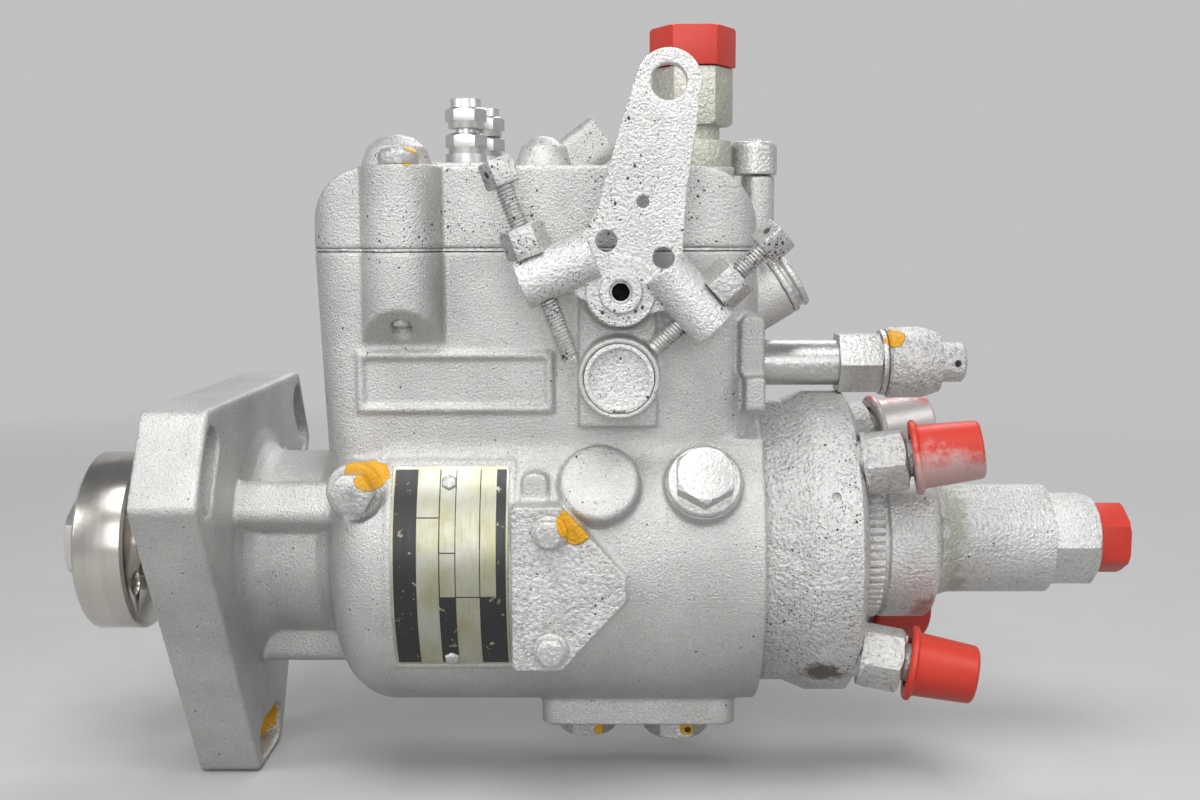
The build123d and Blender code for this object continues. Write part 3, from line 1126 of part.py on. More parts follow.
def governor_weight(angle):
    # Drawn in the plane of X and radius, with its toe behind the thrust sleeve
    toe = Polygon((CAGE_X - 6.0, SLEEVE_TUBE_RADIUS + 0.2), (CAGE_X - 2.4, SLEEVE_TUBE_RADIUS + 0.2),
                  (CAGE_X - 0.6, 19.5), (CAGE_X - 0.6, 25.5), (CAGE_X - 2.4, 27.4), (CAGE_X - 5.0, 28.5),
                  (CAGE_X - 16.5, 28.5), (CAGE_X - 16.5, 20.0), (CAGE_X - 6.0, 19.5), align=None)
    plate = extrude(Plane.XY * toe, amount=WEIGHT_HALF_WIDTH, both=True)
    plate = plate & shaft(CAGE_X - 26, CAGE_X + 9, 28.8)
    weight = Rot(90 - angle, 0, 0) * (Rot(90, 0, 0) * plate)
    return weight + weight_ridge(angle, WEIGHT_RIDGE_RADIUS, WEIGHT_HALF_WIDTH)


def governor_arm():
    # A forked arm whose feet bear on the sleeve and whose top carries the spring and the linkage
    x, z = ARM_PIVOT_X, ARM_PIVOT_Z
    arm = rod((x, -16, z), (x, 16, z), ARM_HUB_RADIUS)
    foot = ((x - 2.1, z), (x + 2.3, z), (x + 3.9, 2), (x + 3.9, -3), (x + 0.7, -3), (x - 1.3, 2))
    arm += side_sketch(foot, 12.4, 16.0)
    arm += side_sketch(foot, -16.0, -12.4)
    top = LINK_Z + 4
    arm += side_sketch(((x - 1.8, z), (x + 1.8, z), (x + 1.5, top), (x - 1.5, top)), -8, LINK_Y + 3.6)
    arm += rod((x, LINK_Y, LINK_Z), (x + 3.8, LINK_Y, LINK_Z), 2.0)
    arm -= rod((x, -20, z), (x, 20, z), PIVOT_PIN_RADIUS + FIT)
    return arm - block(x - 7, x + 7, -5, 5, DROOP_Z - 6.7, DROOP_Z + 6.3)


def linkage_hook():
    start = ARM_PIVOT_X + 4.1
    side = 2.5
    bar = block(start + 0.4, METERING_X + 2.2, LINK_Y - side, LINK_Y + side, LINK_Z - 0.8, LINK_Z + 0.8)
    bar += block(start, start + 1.6, LINK_Y - side, LINK_Y + side, LINK_Z - 2.6, LINK_Z + 2.6)
    tab = SHUTOFF_X + 7.2
    bar += block(tab, tab + 1.2, LINK_Y - side, LINK_Y + side, LINK_Z, LINK_Z + 6.0)
    return bar - block(METERING_X - 4.1, METERING_X + 0.5, LINK_Y - 1.9, LINK_Y + 1.6, LINK_Z - 3, LINK_Z + 3)


def metering_valve():
    # A rotary valve with a crank arm whose pin stands in the linkage
    turn = radians(VALVE_TURN)
    pin_x = METERING_X - LINK_Y * sin(turn)
    pin_y = LINK_Y * cos(turn)
    valve = rod((METERING_X, 0, 15), (METERING_X, 0, 42), METERING_RADIUS)
    valve += rod((METERING_X, 0, 37), (METERING_X, 0, 43), 5.5)
    crank = Box(5, LINK_Y + 2.6, 2.4, align=(Align.CENTER, Align.MIN, Align.MIN))
    valve += Pos(METERING_X, 0, 38) * Rot(0, 0, VALVE_TURN) * crank
    return valve + rod((pin_x, pin_y, 38.5), (pin_x, pin_y, LINK_Z + 3), 1.2)


def governor_spring():
    # The coil and the guide rod that runs through it
    end = SPRING_START + SPRING_LENGTH
    coil = spring(SPRING_RADIUS, SPRING_WIRE_RADIUS, SPRING_PITCH, SPRING_LENGTH - 4.2, SPRING_START + 3.4, DROOP_Z)
    guide = shaft(SPRING_START, DROOP_SCREW_START - GAP, GUIDE_RADIUS, 0, DROOP_Z)
    guide += shaft(SPRING_START, SPRING_START + 2.6, SPRING_RADIUS + 1.4, 0, DROOP_Z)
    return [coil, guide + shaft(end, end + 2.0, SPRING_RADIUS + 1.2, 0, DROOP_Z)]


def shutoff_solenoid():
    # The coil in its bracket, and the pin that its arm swings on
    start, end = BOX_FRONT + 19.5, BOX_FRONT + 53.5
    left, right = COIL_Y - 9.2, COIL_Y + 9.2
    coil = shaft(start + 2, end - 2, COIL_RADIUS, COIL_Y, COIL_Z)
    coil += block(start, end, left, right, COVER_CEILING - 2.2, COVER_CEILING - SEAT)
    coil += block(start, start + 2, left, right, COIL_Z - 4.2, COVER_CEILING - SEAT)
    coil += block(end - 2, end, left, right, COIL_Z - 4.2, COVER_CEILING - SEAT)
    reach = BOX_HALF_WIDTH - COVER_WALL - 0.4
    return [coil, rod((SHUTOFF_X, -reach, SHUTOFF_Z), (SHUTOFF_X, reach, SHUTOFF_Z), 1.5)]


def shutoff_arm():
    left, right = SHUTOFF_X - 1.2, SHUTOFF_X + 1.2
    foot, top = LINK_Z + 3.6, SHUTOFF_Z - 6
    arm = rod((SHUTOFF_X, -4, SHUTOFF_Z), (SHUTOFF_X, 14.5, SHUTOFF_Z), 2.6)
    arm += side_sketch(((left, SHUTOFF_Z), (right, SHUTOFF_Z), (right, foot), (left, foot)), LINK_Y - 1.5, LINK_Y + 1.5)
    arm += side_sketch(((left, SHUTOFF_Z), (right, SHUTOFF_Z), (right, top), (left, top)), -4, LINK_Y + 1.5)
    return arm - rod((SHUTOFF_X, -10, SHUTOFF_Z), (SHUTOFF_X, 20, SHUTOFF_Z), 1.5 + FIT)


def cam_ring():
    steps = 24
    points = []
    for number in range(steps):
        turn = 2 * pi * number / steps
        radius = CAM_MEAN_RADIUS + CAM_LIFT / 2 * cos(CAM_LOBES * turn)
        points.append(Vector(radius * cos(turn), radius * sin(turn)))
    inside = make_face(Edge.make_spline(points, periodic=True))
    start, end = CAM_X - CAM_WIDTH / 2, CAM_X + CAM_WIDTH / 2
    ring = shaft(start, end, CAM_OUTER) - end_sketch(inside, start - 1, end + 1)
    return ring - rod((CAM_SCREW_X, 0, -CAM_OUTER + 3), (CAM_SCREW_X, 0, -CAM_OUTER - 7), BIG_SCREW_RADIUS + FIT)


def distributor_rotor():
    # Driven by the shaft's tang; its head holds the plungers and its tail the transfer pump's blades
    front, back = CAM_X - 10.0, HEAD_START - 1.5
    collar = CAGE_BORE_RADIUS - 0.2
    end = LINER_END - SEAT
    rotor = spun(((0, SHAFT_END + GAP), (collar, SHAFT_END + GAP), (collar, front), (ROTOR_HEAD_RADIUS, front),
                  (ROTOR_HEAD_RADIUS, back), (ROTOR_RADIUS, back + 2), (ROTOR_RADIUS, end), (0, end)))
    wide = TANG_WIDTH / 2 + FIT
    rotor -= block(SHAFT_END, SHAFT_END + TANG_LENGTH + 0.4, -wide, wide, -20, 20)
    rotor -= rod((CAM_X, 0, -20), (CAM_X, 0, 20), PLUNGER_RADIUS + FIT)
    half = SHOE_HALF_LENGTH + GAP
    side = SHOE_HALF_WIDTH + 0.2
    for z0, z1 in ((PLUNGER_END - 1.4, 30), (-30, -PLUNGER_END + 1.4)):
        rotor -= block(CAM_X - half, CAM_X + half, -side, side, z0, z1)
    slot = BLADE_THICKNESS / 2 + FIT
    for turn in (0, 90):
        rotor -= Rot(turn, 0, 0) * block(LINER_START, LINER_END + 2, -slot, slot, -20, 20)
    return rotor + shaft(LINER_START - SEAT, LINER_END - SEAT, 3.2)


def plunger(side):
    # The plunger, the shoe that it pushes and the roller that runs in the shoe
    pin = rod((CAM_X, 0, side * PLUNGER_INNER), (CAM_X, 0, side * PLUNGER_END), PLUNGER_RADIUS)
    shoe = block(CAM_X - SHOE_HALF_LENGTH, CAM_X + SHOE_HALF_LENGTH, -SHOE_HALF_WIDTH, SHOE_HALF_WIDTH,
                 PLUNGER_END + SEAT, ROLLER_CENTRE - 0.6)
    shoe -= shaft(CAM_X - 7, CAM_X + 7, ROLLER_RADIUS + SEAT, 0, ROLLER_CENTRE)
    half = ROLLER_LENGTH / 2
    roller = shaft(CAM_X - half, CAM_X + half, ROLLER_RADIUS, 0, side * ROLLER_CENTRE)
    return [pin, shoe if side > 0 else mirror(shoe, Plane.XY), roller]


def plunger_upper():
    return plunger(1)


def plunger_lower():
    return plunger(-1)


def pump_liner():
    ring = tube(LINER_START, LINER_END, LINER_RADIUS - SEAT, 3.0)
    return ring - shaft(LINER_START - 1, LINER_END + 1, LINER_BORE_RADIUS, 0, LINER_OFFSET)


def pump_blades():
    blades = []
    half = BLADE_THICKNESS / 2
    reach = LINER_BORE_RADIUS - LINER_OFFSET - 0.5
    for turn in (0, 90, 180, 270):
        blades.append(Rot(turn, 0, 0) * block(LINER_START + SEAT, LINER_END - 0.2, -half, half, 3.4, reach))
    return blades


def regulating_piston():
    end = REGULATOR_START + REGULATOR_LENGTH
    cup = tube(REGULATOR_START, end, REGULATOR_RADIUS - 0.1, REGULATOR_RADIUS - 4)
    return cup + shaft(REGULATOR_START, REGULATOR_START + 2, REGULATOR_RADIUS - 0.1)


MAKERS = (pump_housing, shaft_bushes, shaft_seals, governor_cover, cover_gasket, cover_screws, return_fitting,
          return_cap, terminal_studs, terminal_nuts, seal_cup, side_plug, throttle_shaft, throttle_lever,
          stop_nuts, boss_plug, timing_cover, timing_screws, nameplate, pivot_nuts, pivot_shaft,
          head_locking_screws, bottom_screws, droop_tube, droop_nut, droop_knob, hydraulic_head,
          discharge_fittings, end_cap, inlet_fitting, inlet_plug, drive_hub, drive_shaft, hub_nut, hub_key,
          thrust_sleeve, weight_cage, governor_arm, linkage_hook, metering_valve, governor_spring,
          shutoff_solenoid, shutoff_arm, cam_ring, distributor_rotor, pump_liner, pump_blades,
          regulating_piston, stop_screw_left, stop_screw_right, plunger_upper, plunger_lower)


def as_shape(made):
    if isinstance(made, (list, tuple)):
        return Compound(children=[solid for piece in made for solid in piece.solids()])
    return made


def main():
    os.makedirs("parts", exist_ok=True)
    for maker in MAKERS:
        export_step(as_shape(maker()), "parts/" + maker.__name__ + ".step")
    for number, angle in enumerate(WEIGHT_ANGLES, 1):
        export_step(governor_weight(angle), f"parts/governor_weight_{number}.step")
    for number, angle in enumerate(FITTING_ANGLES, 1):
        export_step(transport_cap(angle), f"parts/transport_cap_{number}.step")


if __name__ == "__main__":
    main()
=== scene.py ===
from math import cos, pi, radians, sin

import bpy
from mathutils import Matrix, Vector


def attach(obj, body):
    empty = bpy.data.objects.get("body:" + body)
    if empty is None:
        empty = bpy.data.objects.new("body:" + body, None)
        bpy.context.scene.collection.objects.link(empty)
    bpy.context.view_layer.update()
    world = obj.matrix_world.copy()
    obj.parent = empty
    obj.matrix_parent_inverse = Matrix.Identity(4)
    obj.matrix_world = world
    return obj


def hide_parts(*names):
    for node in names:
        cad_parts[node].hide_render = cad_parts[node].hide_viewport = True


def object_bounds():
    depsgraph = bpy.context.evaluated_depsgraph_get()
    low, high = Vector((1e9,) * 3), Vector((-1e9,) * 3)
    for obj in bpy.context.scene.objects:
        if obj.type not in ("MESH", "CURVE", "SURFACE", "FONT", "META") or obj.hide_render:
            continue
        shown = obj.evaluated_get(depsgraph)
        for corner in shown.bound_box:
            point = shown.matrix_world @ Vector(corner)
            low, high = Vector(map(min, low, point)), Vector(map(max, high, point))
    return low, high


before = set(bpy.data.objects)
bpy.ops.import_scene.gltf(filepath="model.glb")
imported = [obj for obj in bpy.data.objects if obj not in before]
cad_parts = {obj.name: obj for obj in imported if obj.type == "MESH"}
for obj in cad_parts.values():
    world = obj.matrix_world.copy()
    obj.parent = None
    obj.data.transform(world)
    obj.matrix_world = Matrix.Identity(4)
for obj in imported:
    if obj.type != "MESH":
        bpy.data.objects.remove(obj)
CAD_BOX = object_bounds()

bl_info = {
    "name": "Diesel injection pump looks",
    "version": (1, 0, 0),
    "blender": (4, 5, 0),
    "location": "View3D > Sidebar > Pump",
    "description": "Dresses the packed injection pump with its castings, threads, caps and paint",
    "category": "Object",
}

MM = 0.001

# Places and sizes that the pieces share with the CAD, in millimetres
LEVER_PLANE = -44.0
LEFT_TIP, LEFT_OUT, LEFT_LENGTH = (100.7, 52.6), (-0.355, 0.935), 43.0
RIGHT_TIP, RIGHT_OUT, RIGHT_LENGTH = (119.9, 55.0), (0.741, 0.671), 34.0
STOP_HEAD_WIDTH, STOP_HEAD_HEIGHT, STOP_HEAD_TURN = 6.6, 6.4, 30.0
TERMINAL_PLACES = ((72.3, 0.0, 116.4), (75.8, 15.0, 112.6))
FITTING_ANGLES = (45, 135, -135, -45)
FITTING_TILT = 12.5
FITTING_POINT = (173.265, 34.5)
CAP_SEAT = 12.0
BARREL_RADIUS = 42.2
# Where the throttle shaft's end is painted black, as painted shade inside the lever's bore
BORE_SHADE_PLACE, BORE_SHADE_REACH = (112.3, -38.0, 68.4), (3.2, 9.0, 3.2)

# Sizes of the pieces that are made here, in millimetres
STOP_THREAD_RADIUS, STOP_THREAD_START = 2.4, 0.8
STOP_WIRE_HOLE_RADIUS, STOP_WIRE_HOLE_SHARE = 0.95, 0.55
TERMINAL_THREAD_RADIUS, TERMINAL_FOOT, TERMINAL_END_GAP = 2.44, 103.6, 0.6
PLATE_PIN_PLACES = ((70.8, 22.0), (70.9, -21.6))
PLATE_PIN_RINGS = ((1.0, -1.6), (1.0, 0.0), (2.0, 0.0), (2.05, 0.35), (1.7, 0.9), (0.8, 1.15))
PLATE_PIN_RISE = 0.35

# Most triangles that each rounded casting keeps
HOUSING_TRIANGLES, COVER_TRIANGLES, LEVER_TRIANGLES = 190000, 140000, 180000
COVER_VOXEL_SHARE = 0.85

# The nameplate's printed patches: left, right, bottom and top, in millimetres
PLATE_INK = (
    (57.6, 63.2, -23.0, 25.0), (82.3, 84.7, -23.0, 25.0), (68.8, 72.4, -23.0, -4.8), (78.5, 82.4, -23.0, -4.8),
    (68.5, 68.8, -23.0, 25.0), (72.4, 72.65, -23.0, 25.0), (78.3, 78.55, -23.0, 25.0),
    (63.2, 68.6, 14.0, 14.3), (68.8, 72.5, 5.8, 6.1), (72.5, 82.3, -5.0, -4.7),
)

# Tones that the finishes share, among them the painted highlight on orange-peel peaks, the painted shade in its
# valleys and the painted shade in corners, and how much darker their patches are
PEAK_HIGHLIGHT_TONE = (0.86, 0.86, 0.85, 1.0)
VALLEY_SHADE_TONE = (0.12, 0.12, 0.118, 1.0)
# Colour of the painted shade in corners
CORNER_SHADE_TONE = (0.10, 0.095, 0.085, 1.0)
SPECK_TONE = (0.03, 0.027, 0.025, 1.0)
RUST_TONE = (0.06, 0.04, 0.025, 1.0)
INK_TONE = (0.018, 0.018, 0.018, 1.0)
PAINT_SHADE = 0.80
STOCK_SHADE = 0.86

# Depth of the grain on moulded pieces, in metres
GRAIN_RELIEF = 0.00004

# Stage, in metres: rings of the bowl beyond its flat floor, lamps (place, size and watts) and the camera
BOWL_RADIUS = 1.5
BOWL_RINGS = ((1.8, 0.03), (2.1, 0.12), (2.35, 0.28), (2.55, 0.52), (2.7, 0.85), (2.78, 1.25), (2.8, 2.6))
LAMP_TARGET = (0.11, 0, 0.03)
LAMPS = (
    ("key_lamp", (0.06, -0.42, 0.80), (0.6, 0.45), 4.8),
    ("back_lamp", (0.25, 0.55, 0.6), (0.5, 0.3), 2.4),
    ("left_lamp", (-0.6, -0.45, 0.35), (0.3, 0.4), 1.8),
    ("right_lamp", (0.75, -0.35, 0.4), (0.3, 0.4), 1.4),
    ("front_lamp", (0.10, -0.95, 0.30), (0.7, 0.5), 3.3),
)
CAMERA_PLACE = (0.1097, -0.357, 0.0812)
CAMERA_PAN, CAMERA_DIP, CAMERA_ROLL = 0.417, -6.945, 0.176
CAMERA_SENSOR, CAMERA_LENS = 36.0, 40.31


class PumpSizes(bpy.types.PropertyGroup):
    casting_voxel: bpy.props.FloatProperty(
        name="Casting grain", description="Size of the cells that round the castings' corners",
        default=0.6 * MM, unit="LENGTH")
    lever_voxel: bpy.props.FloatProperty(
        name="Lever grain", description="Size of the cells that round the lever's corners",
        default=0.28 * MM, unit="LENGTH")
    thread_pitch: bpy.props.FloatProperty(
        name="Thread pitch", description="Pitch of the stop screws and terminals", default=0.8 * MM,
        unit="LENGTH")
    thread_depth: bpy.props.FloatProperty(
        name="Thread depth", description="Depth of a thread's groove", default=0.42 * MM, unit="LENGTH")
    edge_width: bpy.props.FloatProperty(
        name="Edge width", description="Width of the broken edges on machined pieces", default=0.3 * MM,
        unit="LENGTH")
    cap_length: bpy.props.FloatProperty(
        name="Cap length", description="Length of a transport cap", default=17.0 * MM, unit="LENGTH")


class PumpFinish(bpy.types.PropertyGroup):
    silver: bpy.props.FloatVectorProperty(
        name="Silver paint", description="Colour of the sprayed paint", subtype="COLOR", size=3,
        default=(0.61, 0.605, 0.59))
    plastic: bpy.props.FloatVectorProperty(
        name="Cap plastic", description="Colour of the transport caps", subtype="COLOR", size=3,
        default=(0.68, 0.048, 0.028))
    marker: bpy.props.FloatVectorProperty(
        name="Marking paint", description="Colour of the inspector's dabs", subtype="COLOR", size=3,
        default=(0.80, 0.40, 0.012))
    brass: bpy.props.FloatVectorProperty(
        name="Fitting plating", description="Colour of the return fitting", subtype="COLOR", size=3,
        default=(0.58, 0.575, 0.50))
    printed: bpy.props.FloatVectorProperty(
        name="Plate metal", description="Colour of the nameplate's bare metal", subtype="COLOR", size=3,
        default=(0.36, 0.35, 0.22))


def size(name):
    # One of the sidebar's sizes, in millimetres
    return getattr(bpy.context.scene.pump_sizes, name) / MM


def finish():
    return bpy.context.scene.pump_finish


def colour(value):
    return (value[0], value[1], value[2], 1.0)


def shaded(value, share):
    return colour([channel * share for channel in value])


def metres(values):
    return [value * MM for value in values]


# Selection and modelling helpers

def deselect():
    if bpy.context.mode != "OBJECT":
        bpy.ops.object.mode_set(mode="OBJECT")
    bpy.ops.object.select_all(action="DESELECT")


def activate(*pieces):
    deselect()
    for piece in pieces:
        piece.select_set(True)
    bpy.context.view_layer.objects.active = pieces[0]


def apply_modifier(piece, kind, **settings):
    activate(piece)
    modifier = piece.modifiers.new(kind.lower(), kind)
    for key, value in settings.items():
        setattr(modifier, key, value)
    bpy.ops.object.modifier_apply(modifier=modifier.name)


def settle(piece):
    activate(piece)
    bpy.ops.object.transform_apply(location=True, rotation=True, scale=True)


def place(piece, point, out):
    # Stands a piece that was drawn along +Z at a point, pointing outwards
    axis = Vector(out).normalized()
    piece.matrix_world = Matrix.Translation(Vector(point) * MM) @ axis.to_track_quat("Z", "Y").to_matrix().to_4x4()
    settle(piece)


def smooth(piece, angle=35):
    activate(piece)
    bpy.ops.object.shade_smooth_by_angle(angle=radians(angle))


def break_edges(piece, width):
    apply_modifier(piece, "BEVEL", width=width * MM, segments=2, limit_method="ANGLE", angle_limit=radians(30),
                   use_clamp_overlap=True)


def copy_of(node, name):
    # A separate, merged copy of a CAD node's mesh
    piece = bpy.data.objects.new(name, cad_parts[node].data.copy())
    bpy.context.scene.collection.objects.link(piece)
    activate(piece)
    bpy.ops.object.mode_set(mode="EDIT")
    bpy.ops.mesh.select_all(action="SELECT")
    bpy.ops.mesh.remove_doubles(threshold=0.000002)
    bpy.ops.mesh.dissolve_limited(angle_limit=radians(0.3))
    bpy.ops.object.mode_set(mode="OBJECT")
    piece.data.materials.clear()
    return piece


def cast_copy(node, name, voxel, rounds, limit):
    # A copy whose corners are rounded inside and out, as a casting's are
    piece = copy_of(node, name)
    apply_modifier(piece, "REMESH", mode="VOXEL", voxel_size=voxel * MM, adaptivity=0.0)
    apply_modifier(piece, "SMOOTH", factor=0.5, iterations=rounds)
    triangles = 2 * len(piece.data.polygons)
    if triangles > limit:
        apply_modifier(piece, "DECIMATE", ratio=limit / triangles)
    activate(piece)
    bpy.ops.object.shade_smooth()
    return piece


def machined_copy(node, name, width):
    # A copy with broken edges, of the sidebar's width where none is given
    piece = copy_of(node, name)
    break_edges(piece, width or size("edge_width"))
    smooth(piece)
    return piece


def turned(name, rings, sides):
    # A solid of rings, each (radius, height), closed at its first and last ring
    deselect()
    radius, height = rings[0]
    bpy.ops.mesh.primitive_circle_add(vertices=sides, radius=radius * MM, fill_type="NGON",
                                      location=(0, 0, height * MM))
    piece = bpy.context.object
    piece.name = name
    settle(piece)
    bpy.ops.object.mode_set(mode="EDIT")
    bpy.ops.mesh.select_all(action="SELECT")
    for next_radius, next_height in rings[1:]:
        bpy.ops.mesh.extrude_region_move(TRANSFORM_OT_translate={"value": (0, 0, (next_height - height) * MM)})
        scale = next_radius / radius
        bpy.ops.transform.resize(value=(scale, scale, 1), center_override=(0, 0, next_height * MM))
        radius, height = next_radius, next_height
    bpy.ops.mesh.select_all(action="SELECT")
    bpy.ops.mesh.normals_make_consistent(inside=False)
    bpy.ops.object.mode_set(mode="OBJECT")
    return piece


def thread_ridge(name, radius, length):
    # One helical ridge along +Z whose crest is at this radius
    pitch = size("thread_pitch")
    reach = size("thread_depth") * 2 / 3
    deselect()
    bpy.ops.mesh.primitive_circle_add(vertices=3, radius=reach * MM, location=((radius - reach) * MM, 0, 0),
                                      rotation=(pi / 2, pi / 2, 0))
    ridge = bpy.context.object
    ridge.name = name
    settle(ridge)
    apply_modifier(ridge, "SCREW", axis="Z", angle=2 * pi, steps=20, render_steps=20,
                   screw_offset=pitch * MM, iterations=int(length / pitch), use_merge_vertices=False)
    bpy.ops.object.mode_set(mode="EDIT")
    bpy.ops.mesh.select_all(action="SELECT")
    bpy.ops.mesh.fill_holes(sides=0)
    bpy.ops.mesh.normals_make_consistent(inside=False)
    bpy.ops.object.mode_set(mode="OBJECT")
    return ridge


def join(name, *pieces):
    activate(*pieces)
    bpy.ops.object.join()
    piece = bpy.context.object
    piece.name = name
    return piece


def dress(piece, material, slot, body, *nodes):
    piece.data.materials.clear()
    piece.data.materials.append(material)
    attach(piece, body)
    if nodes:
        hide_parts(*nodes)
    return piece


# Node helpers

def add_node(tree, kind, inputs=None, **settings):
    made = tree.nodes.new(kind)
    for key, value in settings.items():
        setattr(made, key, value)
    for key, value in (inputs or {}).items():
        if isinstance(value, bpy.types.NodeSocket):
            tree.links.new(value, made.inputs[key])
        else:
            made.inputs[key].default_value = value
    return made


def maths(tree, operation, first, second=0.0):
    return add_node(tree, "ShaderNodeMath", {0: first, 1: second}, operation=operation).outputs[0]


def remap(tree, value, low, high, start=0.0, end=1.0):
    return add_node(tree, "ShaderNodeMapRange", {"Value": value, "From Min": low, "From Max": high, "To Min": start,
                                                 "To Max": end}).outputs[0]


def blend_colour(tree, factor, first, second):
    made = add_node(tree, "ShaderNodeMix", data_type="RGBA")
    for index, value in ((0, factor), (6, first), (7, second)):
        if isinstance(value, bpy.types.NodeSocket):
            tree.links.new(value, made.inputs[index])
        else:
            made.inputs[index].default_value = value
    return made.outputs[2]


def noise(tree, vector, scale, detail=2.0, rough=0.5):
    return add_node(tree, "ShaderNodeTexNoise", {"Vector": vector, "Scale": scale, "Detail": detail,
                                                 "Roughness": rough}).outputs[0]


def new_group(name, inputs, outputs):
    group = bpy.data.node_groups.new(name, "ShaderNodeTree")
    for label, kind, default in inputs:
        socket = group.interface.new_socket(label, in_out="INPUT", socket_type=kind)
        if default is not None:
            socket.default_value = default
    for label, kind in outputs:
        group.interface.new_socket(label, in_out="OUTPUT", socket_type=kind)
    start = group.nodes.new("NodeGroupInput")
    end = group.nodes.new("NodeGroupOutput")
    return group, start.outputs, end.inputs


def sprayed_casting_group():
    # Orange peel and fine grit of paint sprayed over a casting, its slow change of tone, and masks for a painted
    # highlight on the peel's peaks and painted shade in its valleys
    group, given, out = new_group("Sprayed casting", (("Vector", "NodeSocketVector", None),
                                                      ("Coarse", "NodeSocketFloat", 900.0),
                                                      ("Fine", "NodeSocketFloat", 2400.0),
                                                      ("Grit", "NodeSocketFloat", 0.5)),
                                  (("Height", "NodeSocketFloat"), ("Tone", "NodeSocketFloat"),
                                   ("Peak highlight", "NodeSocketFloat"), ("Valley shade", "NodeSocketFloat")))
    peel = noise(group, given["Vector"], given["Coarse"], 1.5, 0.55)
    grit = noise(group, given["Vector"], given["Fine"], 2.0, 0.6)
    drops = add_node(group, "ShaderNodeTexVoronoi", {"Vector": given["Vector"], "Scale": given["Coarse"],
                                                     "Smoothness": 0.6}, feature="SMOOTH_F1").outputs["Distance"]
    lumps = maths(group, "SUBTRACT", 1.0, drops)
    height = maths(group, "ADD", maths(group, "MULTIPLY", peel, 0.8), maths(group, "MULTIPLY", lumps, 0.35))
    height = maths(group, "ADD", height, maths(group, "MULTIPLY", grit, given["Grit"]))
    group.links.new(height, out["Height"])
    group.links.new(noise(group, given["Vector"], 38.0, 3.0, 0.6), out["Tone"])
    # Masks for the painted highlight on the peel's peaks and the painted shade in its valleys
    group.links.new(remap(group, peel, 0.56, 0.72), out["Peak highlight"])
    group.links.new(remap(group, peel, 0.46, 0.34), out["Valley shade"])
    return group


def specks_group():
    # Small round specks where the paint missed or dirt was caught, in loose clusters
    group, given, out = new_group("Specks", (("Vector", "NodeSocketVector", None),
                                             ("Density", "NodeSocketFloat", 700.0),
                                             ("Size", "NodeSocketFloat", 0.22),
                                             ("Share", "NodeSocketFloat", 0.25)), (("Mask", "NodeSocketFloat"),))
    cells = add_node(group, "ShaderNodeTexVoronoi", {"Vector": given["Vector"], "Scale": given["Density"]})
    luck = add_node(group, "ShaderNodeSeparateColor", {"Color": cells.outputs["Color"]}).outputs[0]
    patch = noise(group, given["Vector"], 90.0, 3.0, 0.65)
    chosen = maths(group, "LESS_THAN", luck, maths(group, "MULTIPLY", given["Share"], remap(group, patch, 0.4, 0.6)))
    wobble = maths(group, "MULTIPLY", noise(group, given["Vector"], 1900.0, 2.0, 0.6), 0.55)
    radius = maths(group, "ADD", given["Size"], maths(group, "MULTIPLY", luck, 0.35))
    spot = maths(group, "LESS_THAN", maths(group, "ADD", cells.outputs["Distance"], wobble),
                 maths(group, "ADD", radius, 0.22))
    group.links.new(maths(group, "MULTIPLY", chosen, spot), out["Mask"])
    return group


def dab_group():
    # An oval brush dab with a ragged edge
    group, given, out = new_group("Brush dab", (("Vector", "NodeSocketVector", None),
                                                ("Centre", "NodeSocketVector", None),
                                                ("Half size", "NodeSocketVector", None),
                                                ("Ragged", "NodeSocketFloat", 0.5)),
                                  (("Mask", "NodeSocketFloat"), ("Soft", "NodeSocketFloat")))
    offset = add_node(group, "ShaderNodeVectorMath", {0: given["Vector"], 1: given["Centre"]},
                      operation="SUBTRACT").outputs[0]
    share = add_node(group, "ShaderNodeVectorMath", {0: offset, 1: given["Half size"]}, operation="DIVIDE").outputs[0]
    length = add_node(group, "ShaderNodeVectorMath", {0: share}, operation="LENGTH").outputs["Value"]
    ragged = maths(group, "MULTIPLY", maths(group, "SUBTRACT", noise(group, given["Vector"], 330.0, 3.0, 0.6), 0.5),
                   given["Ragged"])
    edge = maths(group, "ADD", length, ragged)
    group.links.new(remap(group, edge, 1.04, 0.98), out["Mask"])
    group.links.new(remap(group, edge, 1.15, 0.6), out["Soft"])
    return group


def printed_patch_group():
    # A printed rectangle in X and Z
    sides = tuple((side, "NodeSocketFloat", 0.0) for side in ("Left", "Right", "Bottom", "Top"))
    group, given, out = new_group("Printed patch", (("Vector", "NodeSocketVector", None),) + sides,
                                  (("Mask", "NodeSocketFloat"),))
    parts = add_node(group, "ShaderNodeSeparateXYZ", {0: given["Vector"]}).outputs
    mask = maths(group, "MULTIPLY", maths(group, "GREATER_THAN", parts[0], given["Left"]),
                 maths(group, "LESS_THAN", parts[0], given["Right"]))
    mask = maths(group, "MULTIPLY", mask, maths(group, "GREATER_THAN", parts[2], given["Bottom"]))
    group.links.new(maths(group, "MULTIPLY", mask, maths(group, "LESS_THAN", parts[2], given["Top"])), out["Mask"])
    return group


def turning_marks_group():
    # Fine rings that a lathe tool leaves round the X axis, on its cylinders and on its faces
    group, given, out = new_group("Turning marks", (("Vector", "NodeSocketVector", None),
                                                    ("Scale", "NodeSocketFloat", 6000.0)),
                                  (("Height", "NodeSocketFloat"), ("Tone", "NodeSocketFloat")))
    parts = add_node(group, "ShaderNodeSeparateXYZ", {0: given["Vector"]}).outputs
    squares = [maths(group, "MULTIPLY", part, part) for part in (parts[1], parts[2])]
    radius = maths(group, "SQRT", maths(group, "ADD", *squares))
    line = add_node(group, "ShaderNodeCombineXYZ", {0: parts[0], 1: radius}).outputs[0]
    group.links.new(noise(group, line, given["Scale"]), out["Height"])
    group.links.new(noise(group, line, 300.0), out["Tone"])
    return group


